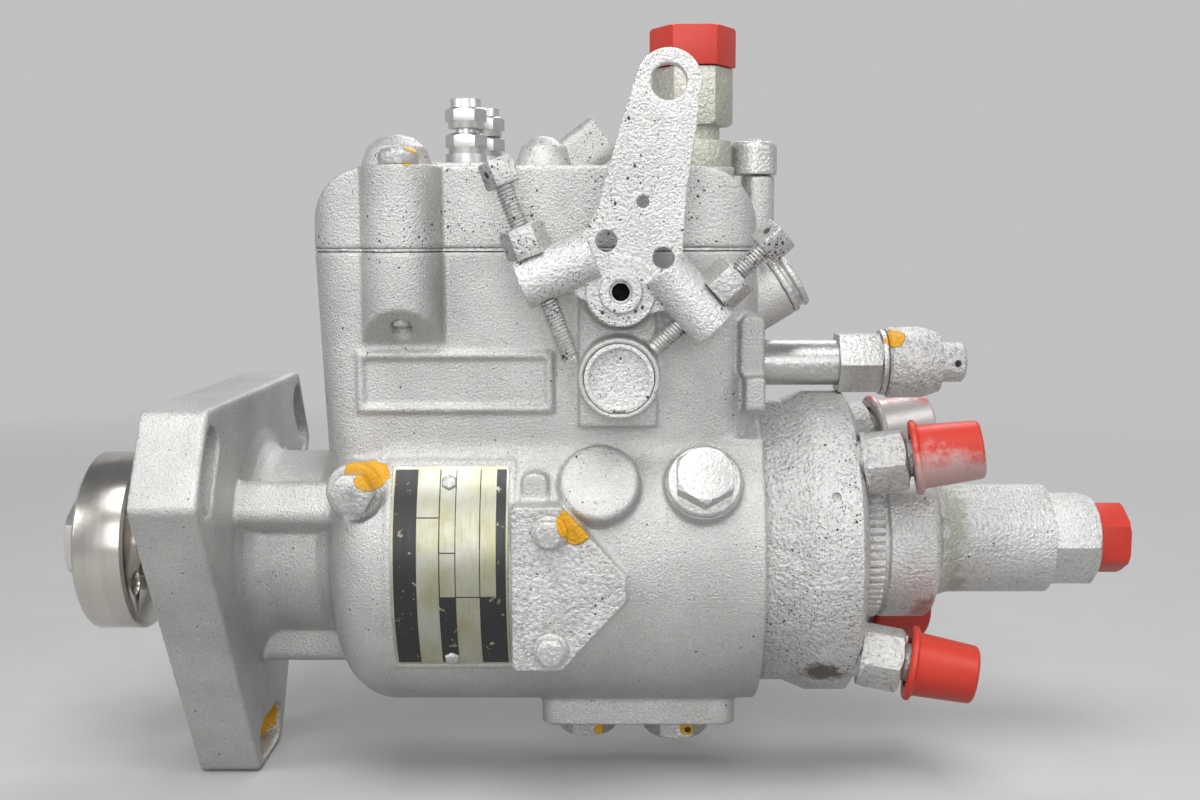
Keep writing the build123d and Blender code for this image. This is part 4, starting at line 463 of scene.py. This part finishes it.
def corner_shade_group():
    # Painted shade that darkens corners, from ambient occlusion, in loose patches
    group, given, out = new_group("Corner shade", (("Reach", "NodeSocketFloat", 0.003),
                                                   ("Vector", "NodeSocketVector", None)),
                                  (("Mask", "NodeSocketFloat"),))
    shade = add_node(group, "ShaderNodeAmbientOcclusion", {"Distance": given["Reach"]}, samples=6,
                     only_local=False).outputs["AO"]
    patch = remap(group, noise(group, given["Vector"], 160.0, 3.0, 0.6), 0.35, 0.65)
    group.links.new(maths(group, "MULTIPLY", remap(group, shade, 0.55, 0.15), patch), out["Mask"])
    return group


class Palette:
    """The node groups and finished materials, by name."""
    groups = {}
    materials = {}


def use_group(tree, name, **inputs):
    made = tree.nodes.new("ShaderNodeGroup")
    made.node_tree = Palette.groups[name]
    for label, value in inputs.items():
        label = label.replace("_", " ")
        if isinstance(value, bpy.types.NodeSocket):
            tree.links.new(value, made.inputs[label])
        else:
            made.inputs[label].default_value = value
    return made.outputs


def new_material(name):
    material = bpy.data.materials.new(name)
    material.use_nodes = True
    tree = material.node_tree
    shader = tree.nodes["Principled BSDF"]
    coordinates = tree.nodes.new("ShaderNodeTexCoord").outputs["Object"]
    Palette.materials[name] = material
    return tree, shader, coordinates


def strongest(tree, masks):
    # The largest of several masks
    mask = masks[0]
    for other in masks[1:]:
        mask = maths(tree, "MAXIMUM", mask, other)
    return mask


def dab_at(tree, where, centre, half, ragged):
    return use_group(tree, "dab", Vector=where, Centre=metres(centre), Half_size=metres(half), Ragged=ragged)


def feed(tree, shader, **inputs):
    for label, value in inputs.items():
        socket = shader.inputs[label.replace("_", " ")]
        if isinstance(value, bpy.types.NodeSocket):
            tree.links.new(value, socket)
        else:
            socket.default_value = value


def bump(tree, height, strength, distance):
    return add_node(tree, "ShaderNodeBump", {"Height": height, "Strength": strength, "Distance": distance}).outputs[0]


def painted(name, coarse, fine, grit, relief, base=None, specks=(), dabs=(), stains=(), metal=0.55,
            rough=(0.36, 0.52), corner_shade_share=0.6, valley_shade_share=0.12):
    # Silver spray paint: orange peel with a painted highlight on its peaks and painted shade in its valleys, specks,
    # painted shade in corners and the inspector's dabs
    tree, shader, where = new_material(name)
    cast = use_group(tree, "casting", Vector=where, Coarse=coarse, Fine=fine, Grit=grit)
    silver = colour(base or finish().silver)
    paint = blend_colour(tree, remap(tree, cast["Tone"], 0.35, 0.65), shaded(silver, PAINT_SHADE), silver)
    # Painted highlight on the orange peel's peaks and painted shade in its valleys
    paint = blend_colour(tree, maths(tree, "MULTIPLY", cast["Peak highlight"], 0.4), paint, PEAK_HIGHLIGHT_TONE)
    paint = blend_colour(tree, maths(tree, "MULTIPLY", cast["Valley shade"], valley_shade_share), paint, VALLEY_SHADE_TONE)
    # Painted shade: corners darkened by ambient occlusion, in patches
    corner_shade = use_group(tree, "corner_shade", Reach=0.0035, Vector=where)["Mask"]
    paint = blend_colour(tree, maths(tree, "MULTIPLY", corner_shade, corner_shade_share), paint, CORNER_SHADE_TONE)
    if specks:
        spots = [use_group(tree, "specks", Vector=where, Density=density, Size=width, Share=share)["Mask"]
                 for share, width, density in specks]
        bare = strongest(tree, spots)
        paint = blend_colour(tree, maths(tree, "MULTIPLY", bare, 0.92), paint, SPECK_TONE)
    for centre, half, tint in stains:
        stain = dab_at(tree, where, centre, half, 2.0)["Soft"]
        paint = blend_colour(tree, maths(tree, "MULTIPLY", stain, 0.85), paint, tint)
    height = cast["Height"]
    if dabs:
        dabbed = strongest(tree, [dab_at(tree, where, centre, half, 0.55)["Mask"] for centre, half in dabs])
        paint = blend_colour(tree, dabbed, paint, colour(finish().marker))
        metal = maths(tree, "MULTIPLY", maths(tree, "SUBTRACT", 1.0, dabbed), metal)
        height = maths(tree, "ADD", height, maths(tree, "MULTIPLY", dabbed, 0.8))
    feed(tree, shader, Base_Color=paint, Metallic=metal, Roughness=remap(tree, cast["Height"], 0.5, 1.3, *rough),
         Normal=bump(tree, height, 0.9, relief))


def steel(name, base, scale, rough, relief=0.00002):
    # Bare metal with the marks of a lathe tool
    tree, shader, where = new_material(name)
    marks = use_group(tree, "turning", Vector=where, Scale=scale)
    smear = noise(tree, where, 60.0, 4.0, 0.6)
    tone = blend_colour(tree, remap(tree, marks["Tone"], 0.3, 0.7), shaded(base, STOCK_SHADE), colour(base))
    feed(tree, shader, Base_Color=tone, Metallic=1.0, Roughness=remap(tree, smear, 0.3, 0.7, *rough),
         Normal=bump(tree, marks["Height"], 0.5, relief))


def bored_steel():
    # The throttle shaft, whose end in the lever's bore is painted black as painted shade in the deep hole
    tree, shader, where = new_material("bored_steel")
    bore_shade = dab_at(tree, where, BORE_SHADE_PLACE, BORE_SHADE_REACH, 0.0)["Mask"]
    # Painted shade: near-black, non-metallic colour in the lever's bore
    face = blend_colour(tree, bore_shade, (0.5, 0.5, 0.49, 1.0), (0.004, 0.004, 0.004, 1.0))
    feed(tree, shader, Base_Color=face, Metallic=maths(tree, "SUBTRACT", 1.0, bore_shade),
         Roughness=remap(tree, noise(tree, where, 900.0), 0.3, 0.7, 0.35, 0.6))
    shader.inputs["Specular IOR Level"].default_value = 0.2


def moulded(name, base, rough=(0.34, 0.5), mist=None):
    # Moulded plastic or rubber; a mist is silver overspray that thickens from one height down to another
    tree, shader, where = new_material(name)
    patch = noise(tree, where, 70.0, 4.0, 0.6)
    body = blend_colour(tree, remap(tree, patch, 0.3, 0.7), shaded(base, STOCK_SHADE), colour(base))
    metal = 0.0
    if mist is not None:
        high, low, strength = mist
        level = add_node(tree, "ShaderNodeSeparateXYZ", {0: where}).outputs[2]
        drift = maths(tree, "MULTIPLY", maths(tree, "SUBTRACT", noise(tree, where, 260.0, 4.0, 0.7), 0.5), 0.014)
        mask = remap(tree, maths(tree, "ADD", level, drift), high * MM, low * MM, 0.0, strength)
        body = blend_colour(tree, mask, body, colour(finish().silver))
        metal = maths(tree, "MULTIPLY", mask, 0.5)
    texture = noise(tree, where, 1500.0, 3.0, 0.6)
    feed(tree, shader, Base_Color=body, Metallic=metal, Roughness=remap(tree, texture, 0.3, 0.7, *rough),
         Normal=bump(tree, texture, 0.5, GRAIN_RELIEF))


def nameplate_metal():
    # Brushed plate metal with worn black print and a little silver overspray
    tree, shader, where = new_material("nameplate_metal")
    ink = strongest(tree, [use_group(tree, "patch", Vector=where, Left=left * MM, Right=right * MM,
                                     Bottom=bottom * MM, Top=top * MM)["Mask"]
                           for left, right, bottom, top in PLATE_INK])
    wear = noise(tree, where, 420.0, 4.0, 0.65)
    ink = maths(tree, "MULTIPLY", ink, remap(tree, wear, 0.70, 0.62))
    haze = noise(tree, where, 90.0, 4.0, 0.6)
    metal = blend_colour(tree, remap(tree, haze, 0.38, 0.62), colour(finish().printed), (0.44, 0.44, 0.38, 1.0))
    scratch = add_node(tree, "ShaderNodeMapping", {"Vector": where, "Scale": (4000.0, 300.0, 160.0)}).outputs[0]
    lines = noise(tree, scratch, 1.0, 2.0)
    metal = blend_colour(tree, remap(tree, lines, 0.55, 0.75, 0.0, 0.4), metal, (0.25, 0.24, 0.18, 1.0))
    face = blend_colour(tree, ink, metal, INK_TONE)
    mist = use_group(tree, "specks", Vector=where, Density=1300.0, Size=0.08, Share=0.22)["Mask"]
    face = blend_colour(tree, mist, face, colour(finish().silver))
    feed(tree, shader, Base_Color=face, Metallic=maths(tree, "MULTIPLY", maths(tree, "SUBTRACT", 1.0, ink), 0.75),
         Roughness=remap(tree, lines, 0.3, 0.7, 0.3, 0.45), Normal=bump(tree, lines, 0.3, 0.00002))


def build_materials():
    Palette.groups = {"casting": sprayed_casting_group(), "specks": specks_group(), "dab": dab_group(),
                      "patch": printed_patch_group(), "turning": turning_marks_group(), "corner_shade": corner_shade_group()}
    fine, wide = 1500.0, 650.0
    painted("housing_paint", 1900.0, 3800.0, 0.4, 0.00026, specks=((0.10, 0.20, wide), (0.16, 0.22, fine)),
            dabs=(((51.0, -38.0, 24.5), (5.4, 7.0, 4.0)), ((8.0, 12.0, -53.0), (7.0, 8.5, 6.5))))
    painted("cover_paint", 1800.0, 3800.0, 0.4, 0.00027, specks=((0.22, 0.24, wide), (0.35, 0.26, fine)),
            dabs=(((61.5, -34.0, 99.0), (3.6, 5.0, 3.0)),))
    # A lighter copy of the silver paint, as painted light on the lever
    painted("lever_paint", 1400.0, 3200.0, 0.5, 0.0005, base=(0.80, 0.79, 0.775),
            specks=((0.26, 0.28, wide), (0.42, 0.24, fine)), rough=(0.34, 0.5), valley_shade_share=0.25)
    # A lighter copy of the silver paint, as painted light on the hydraulic head
    painted("head_paint", 1100.0, 2800.0, 0.5, 0.0006, base=(0.68, 0.675, 0.66),
            specks=((0.20, 0.24, wide), (0.40, 0.26, fine)), valley_shade_share=0.35,
            stains=(((163.6, -29.0, -28.3), (5.6, 9.0, 3.4), RUST_TONE),))
    # A lighter copy of the silver paint, as painted light on the timing cover
    painted("timing_paint", 1000.0, 2600.0, 0.5, 0.0006, base=(0.68, 0.675, 0.66), specks=((0.12, 0.22, wide),),
            valley_shade_share=0.3, dabs=(((101.5, -45.4, 13.5), (4.6, 3.0, 4.6)),))
    painted("smooth_paint", 1100.0, 2800.0, 0.35, 0.0003, specks=((0.08, 0.20, wide), (0.16, 0.22, fine)),
            rough=(0.3, 0.45),
            dabs=(((51.5, -42.0, 23.2), (3.0, 5.0, 2.2)), ((182.6, -9.0, 56.0), (3.4, 4.0, 3.6)),
                  ((107.0, -9.0, -51.0), (2.4, 3.0, 2.2)), ((130.6, -9.0, -50.6), (2.2, 3.0, 2.2)),
                  ((61.8, -34.0, 101.0), (2.6, 4.0, 1.8)), ((98.8, -47.0, 13.4), (2.2, 3.0, 2.8))))
    painted("fitting_paint", 900.0, 2600.0, 0.5, 0.0006, specks=((0.15, 0.22, fine),), valley_shade_share=0.3)
    # A lighter copy of the silver paint, as painted light on the end cap
    painted("end_cap_paint", 1200.0, 2800.0, 0.5, 0.0005, base=(0.72, 0.715, 0.70),
            specks=((0.10, 0.20, wide), (0.16, 0.22, fine)), valley_shade_share=0.2,
            stains=(((199.5, 0.0, 0.0), (4.6, 26.0, 26.0), (0.40, 0.40, 0.34, 1.0)),
                    ((193.0, -12.0, -18.0), (5.0, 12.0, 7.0), (0.42, 0.16, 0.13, 1.0))))
    # A lighter copy of the silver paint, as painted light on the droop knob
    painted("knob_paint", 900.0, 2600.0, 0.6, 0.0008, base=(0.70, 0.695, 0.68), specks=((0.15, 0.22, fine),),
            valley_shade_share=0.35, dabs=(((183.6, -7.0, 55.4), (3.4, 4.0, 3.2)),))
    painted("screw_paint", 1100.0, 2800.0, 0.4, 0.0003, specks=((0.7, 0.28, fine), (0.4, 0.26, wide)),
            rough=(0.3, 0.45))
    # Only a little painted shade in the corners of the stem
    painted("stem_paint", 1300.0, 3200.0, 0.2, 0.00012, rough=(0.3, 0.4), metal=0.6, corner_shade_share=0.2)
    painted("fitting_plating", 1000.0, 2600.0, 0.5, 0.0004, base=finish().brass, specks=((0.25, 0.22, fine),),
            metal=0.6, valley_shade_share=0.15)
    steel("ground_steel", (0.62, 0.59, 0.55), 5200.0, (0.14, 0.3))
    steel("plated_steel", (0.66, 0.66, 0.65), 5200.0, (0.32, 0.46))
    steel("spring_wire", (0.30, 0.29, 0.28), 5200.0, (0.3, 0.45))
    steel("sintered_iron", (0.20, 0.19, 0.185), 900.0, (0.5, 0.7), 0.00008)
    steel("plain_bronze", (0.50, 0.32, 0.13), 5200.0, (0.3, 0.45))
    moulded("red_plastic", finish().plastic)
    moulded("red_plastic_misted", finish().plastic, mist=(30.5, 25.5, 0.62))
    moulded("red_plastic_painted", finish().plastic, mist=(37.5, 33.0, 0.95))
    moulded("black_rubber", (0.02, 0.02, 0.02), (0.55, 0.75))
    moulded("black_plastic", (0.03, 0.03, 0.032), (0.4, 0.55))
    bored_steel()
    nameplate_metal()


# What each CAD node that stays as it is shows
NODE_FINISH = {
    "shaft_bushes": "plain_bronze", "shaft_seals": "black_rubber", "cover_gasket": "smooth_paint",
    "terminal_studs": "plated_steel", "throttle_shaft": "bored_steel", "nameplate": "nameplate_metal",
    "pivot_shaft": "ground_steel", "drive_shaft": "ground_steel", "hub_key": "plated_steel",
    "thrust_sleeve": "ground_steel", "weight_cage": "sintered_iron", "governor_arm": "plated_steel",
    "linkage_hook": "plated_steel", "metering_valve": "ground_steel", "governor_spring": "spring_wire",
    "shutoff_solenoid": "black_plastic", "shutoff_arm": "plated_steel", "cam_ring": "ground_steel",
    "distributor_rotor": "ground_steel", "pump_liner": "ground_steel", "pump_blades": "ground_steel",
    "regulating_piston": "ground_steel", "plunger_upper": "ground_steel", "plunger_lower": "ground_steel",
    "droop_tube": "stem_paint", "governor_weight_1": "sintered_iron", "governor_weight_2": "sintered_iron",
    "governor_weight_3": "sintered_iron", "governor_weight_4": "sintered_iron",
}

# Machined pieces: node, material, slot, body, edge width (None for the sidebar's)
MACHINED = (
    ("hydraulic_head", "head_paint", "silver", "casing", 0.8),
    ("timing_cover", "timing_paint", "silver", "casing", 0.5),
    ("end_cap", "end_cap_paint", "silver_smooth", "casing", 0.12),
    ("inlet_fitting", "end_cap_paint", "silver_smooth", "casing", 0.4),
    ("discharge_fittings", "fitting_paint", "silver_smooth", "casing", None),
    ("head_locking_screws", "smooth_paint", "silver_smooth", "casing", 0.4),
    ("bottom_screws", "smooth_paint", "silver_smooth", "casing", 0.4),
    ("timing_screws", "smooth_paint", "zinc", "casing", 0.25),
    ("droop_nut", "smooth_paint", "silver_smooth", "casing", None),
    ("droop_knob", "knob_paint", "silver_smooth", "droop", 0.4),
    ("pivot_nuts", "smooth_paint", "silver_smooth", "casing", 0.4),
    ("return_fitting", "fitting_plating", "fitting_brass", "casing", 0.4),
    ("seal_cup", "smooth_paint", "silver_smooth", "casing", 0.5),
    ("side_plug", "smooth_paint", "silver_smooth", "casing", None),
    ("boss_plug", "lever_paint", "silver_smooth", "casing", 0.2),
    ("terminal_nuts", "plated_steel", "zinc", "casing", 0.25),
    ("cover_screws", "smooth_paint", "silver_smooth", "casing", None),
    ("stop_nuts", "screw_paint", "silver_smooth", "throttle", 0.35),
    ("drive_hub", "ground_steel", "bright_steel", "drive", 0.5),
    ("hub_nut", "plated_steel", "zinc", "drive", None),
    ("return_cap", "red_plastic", "red_plastic", "return_outlet_cap", 0.5),
    ("inlet_plug", "red_plastic", "red_plastic", "inlet_stopper", 0.5),
)


class PUMP_OT_finishes(bpy.types.Operator):
    """Make the paints, metals and plastics and put them on the CAD nodes"""
    bl_idname = "pump.finishes"
    bl_label = "Finishes"

    def execute(self, context):
        build_materials()
        for node, material in NODE_FINISH.items():
            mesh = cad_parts[node].data
            mesh.materials.clear()
            mesh.materials.append(Palette.materials[material])
        return {"FINISHED"}


class PUMP_OT_castings(bpy.types.Operator):
    """Round the corners of the housing and the governor cover as castings"""
    bl_idname = "pump.castings"
    bl_label = "Castings"

    def execute(self, context):
        voxel = size("casting_voxel")
        housing = cast_copy("pump_housing", "housing_casting", voxel, 3, HOUSING_TRIANGLES)
        dress(housing, Palette.materials["housing_paint"], "silver", "casing", "pump_housing")
        cover = cast_copy("governor_cover", "cover_casting", voxel * COVER_VOXEL_SHARE, 3, COVER_TRIANGLES)
        dress(cover, Palette.materials["cover_paint"], "silver", "casing", "governor_cover")
        return {"FINISHED"}


class PUMP_OT_throttle_lever(bpy.types.Operator):
    """Round the corners of the throttle lever"""
    bl_idname = "pump.throttle_lever"
    bl_label = "Throttle lever"

    def execute(self, context):
        lever = cast_copy("throttle_lever", "lever_casting", size("lever_voxel"), 2, LEVER_TRIANGLES)
        dress(lever, Palette.materials["lever_paint"], "lever_paint", "throttle", "throttle_lever")
        return {"FINISHED"}


def stop_screw(name, tip, out, length, body, node):
    # Threaded shank with a square head that has a wire hole across it
    radius = STOP_THREAD_RADIUS
    core = turned(name + "_core", ((radius - 0.5, 0.0), (radius - 0.4, STOP_THREAD_START),
                                   (radius - 0.4, length + 0.5)), 24)
    ridge = thread_ridge(name + "_ridge", radius, length - 1.2)
    ridge.location.z = STOP_THREAD_START * MM
    settle(ridge)
    deselect()
    bpy.ops.mesh.primitive_cube_add(size=1, location=(0, 0, (length + STOP_HEAD_HEIGHT / 2) * MM),
                                    scale=(STOP_HEAD_WIDTH * MM, STOP_HEAD_WIDTH * MM, STOP_HEAD_HEIGHT * MM))
    head = bpy.context.object
    settle(head)
    break_edges(head, 0.7)
    deselect()
    hole_level = length + STOP_HEAD_HEIGHT * STOP_WIRE_HOLE_SHARE
    bpy.ops.mesh.primitive_cylinder_add(vertices=20, radius=STOP_WIRE_HOLE_RADIUS * MM, depth=12 * MM,
                                        rotation=(pi / 2, 0, 0), location=(0, 0, hole_level * MM))
    drill = bpy.context.object
    settle(drill)
    apply_modifier(head, "BOOLEAN", operation="DIFFERENCE", object=drill, solver="EXACT")
    bpy.data.objects.remove(drill)
    head.rotation_euler.z = radians(STOP_HEAD_TURN)
    settle(head)
    screw = join(name, core, ridge, head)
    smooth(screw, 30)
    line = Vector((out[0], 0, out[1])).normalized()
    across = Vector((0, 1, 0))
    side = line.cross(across)
    turn = Matrix((across, side, line)).transposed().to_4x4()
    screw.matrix_world = Matrix.Translation(Vector((tip[0], LEVER_PLANE, tip[1])) * MM) @ turn
    settle(screw)
    return dress(screw, Palette.materials["screw_paint"], "zinc", body, node)


class PUMP_OT_stop_screws(bpy.types.Operator):
    """Cut the threads and heads of the two throttle stop screws"""
    bl_idname = "pump.stop_screws"
    bl_label = "Stop screws"

    def execute(self, context):
        stop_screw("idle_screw_threaded", LEFT_TIP, LEFT_OUT, LEFT_LENGTH, "left_screw", "stop_screw_left")
        stop_screw("speed_screw_threaded", RIGHT_TIP, RIGHT_OUT, RIGHT_LENGTH, "right_screw", "stop_screw_right")
        return {"FINISHED"}


class PUMP_OT_terminal_threads(bpy.types.Operator):
    """Wind the threads on the terminal studs"""
    bl_idname = "pump.terminal_threads"
    bl_label = "Terminal threads"

    def execute(self, context):
        for number, (x, y, top) in enumerate(TERMINAL_PLACES, 1):
            length = top - TERMINAL_FOOT - TERMINAL_END_GAP
            ridge = thread_ridge(f"terminal_thread_{number}", TERMINAL_THREAD_RADIUS, length)
            smooth(ridge, 30)
            place(ridge, (x, y, TERMINAL_FOOT), (0, 0, 1))
            dress(ridge, Palette.materials["plated_steel"], "zinc", "casing")
        return {"FINISHED"}


class PUMP_OT_plate_pins(bpy.types.Operator):
    """Set the two drive pins that hold the nameplate"""
    bl_idname = "pump.plate_pins"
    bl_label = "Nameplate pins"

    def execute(self, context):
        for number, (x, z) in enumerate(PLATE_PIN_PLACES, 1):
            pin = turned(f"plate_pin_{number}", PLATE_PIN_RINGS, 6)
            break_edges(pin, 0.12)
            smooth(pin, 30)
            y = -(BARREL_RADIUS ** 2 - z ** 2) ** 0.5
            place(pin, (x, y - PLATE_PIN_RISE, z), (0, y, z))
            dress(pin, Palette.materials["smooth_paint"], "silver_smooth", "casing")
        return {"FINISHED"}


class PUMP_OT_transport_caps(bpy.types.Operator):
    """Mould the four push-on caps of the discharge fittings"""
    bl_idname = "pump.transport_caps"
    bl_label = "Transport caps"

    def execute(self, context):
        length = size("cap_length")
        rings = ((5.9, length - 1.6), (6.2, 0.0), (8.9, 0.0), (9.4, 0.5), (9.4, 1.3), (9.0, 1.7), (8.3, 1.9),
                 (8.0, 2.6), (7.3, length - 1.0), (6.9, length - 0.35), (6.3, length))
        looks = ("red_plastic_misted", "red_plastic_painted", "red_plastic", "red_plastic")
        tilt = radians(FITTING_TILT)
        for number, (angle, look) in enumerate(zip(FITTING_ANGLES, looks), 1):
            cap = turned(f"push_cap_{number}", rings, 40)
            smooth(cap, 40)
            turn = radians(angle)
            across = Vector((0, -cos(turn), sin(turn)))
            out = Vector((cos(tilt), 0, 0)) + across * sin(tilt)
            point = Vector((FITTING_POINT[0], 0, 0)) + across * FITTING_POINT[1] + out * CAP_SEAT
            place(cap, point, out)
            dress(cap, Palette.materials[look], "red_plastic", f"cap_{number}", f"transport_cap_{number}")
        return {"FINISHED"}


class PUMP_OT_machined_pieces(bpy.types.Operator):
    """Break the edges of the nuts, screws, fittings, head and hub"""
    bl_idname = "pump.machined_pieces"
    bl_label = "Machined pieces"

    def execute(self, context):
        for node, material, slot, body, width in MACHINED:
            piece = machined_copy(node, node + "_finished", width)
            dress(piece, Palette.materials[material], slot, body, node)
        return {"FINISHED"}


def studio_bowl():
    # A round floor that curves up into a backdrop on every side
    deselect()
    level = CAD_BOX[0][2] - 0.0002
    bpy.ops.mesh.primitive_circle_add(vertices=96, radius=BOWL_RADIUS, fill_type="NGON", location=(0, 0, level))
    floor = bpy.context.object
    floor.name = "floor"
    settle(floor)
    bpy.ops.object.mode_set(mode="EDIT")
    bpy.ops.mesh.select_all(action="SELECT")
    bpy.ops.mesh.region_to_loop()
    radius, height = BOWL_RADIUS, 0.0
    for wide, high in BOWL_RINGS:
        bpy.ops.mesh.extrude_region_move(TRANSFORM_OT_translate={"value": (0, 0, high - height)})
        bpy.ops.transform.resize(value=(wide / radius, wide / radius, 1), center_override=(0, 0, level + high))
        radius, height = wide, high
    bpy.ops.object.mode_set(mode="OBJECT")
    activate(floor)
    bpy.ops.object.shade_smooth()
    return floor


def pale_floor():
    # Pale to the camera and in the metal, dark to the light that reaches the pump, and even from afar
    tree, shader, where = new_material("pale_floor")
    grain = noise(tree, where, 60.0, 4.0, 0.6)
    seen = blend_colour(tree, remap(tree, grain, 0.3, 0.7), (0.57, 0.57, 0.565, 1.0), (0.60, 0.60, 0.595, 1.0))
    path = tree.nodes.new("ShaderNodeLightPath").outputs
    ray = strongest(tree, [path[kind] for kind in ("Is Camera Ray", "Is Glossy Ray", "Is Transmission Ray")])
    feed(tree, shader, Base_Color=blend_colour(tree, ray, (0.16, 0.16, 0.16, 1.0), seen),
         Roughness=remap(tree, grain, 0.3, 0.7, 0.6, 0.7))
    far = add_node(tree, "ShaderNodeVectorMath", {0: where}, operation="LENGTH").outputs["Value"]
    glow = add_node(tree, "ShaderNodeEmission", {"Color": (0.53, 0.53, 0.535, 1.0), "Strength": 1.0})
    share = maths(tree, "MULTIPLY", remap(tree, far, 0.16, 0.8), ray)
    mixed = add_node(tree, "ShaderNodeMixShader", {0: share, 1: shader.outputs[0], 2: glow.outputs[0]})
    tree.links.new(mixed.outputs[0], tree.nodes["Material Output"].inputs["Surface"])
    return Palette.materials["pale_floor"]


def light_room(scene):
    scene.world = scene.world or bpy.data.worlds.new("studio")
    scene.world.use_nodes = True
    background = scene.world.node_tree.nodes["Background"]
    background.inputs["Color"].default_value = (0.72, 0.73, 0.75, 1.0)
    background.inputs["Strength"].default_value = 0.28
    for name, spot, extent, power in LAMPS:
        data = bpy.data.lights.new(name, "AREA")
        data.shape = "RECTANGLE"
        data.size, data.size_y = extent
        data.energy = power
        lamp = bpy.data.objects.new(name, data)
        lamp.location = spot
        lamp.rotation_euler = (Vector(LAMP_TARGET) - Vector(spot)).to_track_quat("-Z", "Y").to_euler()
        scene.collection.objects.link(lamp)


def set_camera(scene):
    # The camera of the photograph, whose view is turned by pan, then dip, then roll
    data = bpy.data.cameras.new("camera")
    data.sensor_width = CAMERA_SENSOR
    data.lens = CAMERA_LENS
    data.clip_start = 0.01
    camera = bpy.data.objects.new("camera", data)
    turn = Matrix.Identity(3)
    for degrees, axis in ((CAMERA_PAN, "Z"), (CAMERA_DIP, "X"), (CAMERA_ROLL, "Y")):
        turn = turn @ Matrix.Rotation(radians(degrees), 3, axis)
    facing = Matrix((turn.col[0], turn.col[2], -turn.col[1])).transposed()
    camera.matrix_world = Matrix.Translation(CAMERA_PLACE) @ facing.to_4x4()
    scene.collection.objects.link(camera)
    scene.camera = camera


class PUMP_OT_stage(bpy.types.Operator):
    """Lay the floor and set the lamps and the camera"""
    bl_idname = "pump.stage"
    bl_label = "Stage"

    def execute(self, context):
        scene = context.scene
        scene.view_settings.view_transform = "Standard"
        floor = studio_bowl()
        floor.data.materials.append(pale_floor())
        light_room(scene)
        set_camera(scene)
        return {"FINISHED"}


class PUMP_PT_sidebar(bpy.types.Panel):
    bl_label = "Injection pump"
    bl_idname = "PUMP_PT_sidebar"
    bl_space_type = "VIEW_3D"
    bl_region_type = "UI"
    bl_category = "Pump"

    def draw(self, context):
        for group in (context.scene.pump_sizes, context.scene.pump_finish):
            for name in group.__annotations__:
                self.layout.prop(group, name)
        for operator in OPERATORS:
            self.layout.operator(operator.bl_idname)


OPERATORS = (PUMP_OT_finishes, PUMP_OT_castings, PUMP_OT_throttle_lever, PUMP_OT_stop_screws,
             PUMP_OT_terminal_threads, PUMP_OT_plate_pins, PUMP_OT_transport_caps, PUMP_OT_machined_pieces,
             PUMP_OT_stage)
CLASSES = (PumpSizes, PumpFinish) + OPERATORS + (PUMP_PT_sidebar,)


def register():
    for item in CLASSES:
        bpy.utils.register_class(item)
    bpy.types.Scene.pump_sizes = bpy.props.PointerProperty(type=PumpSizes)
    bpy.types.Scene.pump_finish = bpy.props.PointerProperty(type=PumpFinish)


def unregister():
    del bpy.types.Scene.pump_sizes
    del bpy.types.Scene.pump_finish
    for item in reversed(CLASSES):
        bpy.utils.unregister_class(item)


def main():
    register()
    deselect()
    for operator in OPERATORS:
        getattr(bpy.ops.pump, operator.bl_idname.split(".")[1])()
    deselect()


if __name__ == "__main__":
    main()
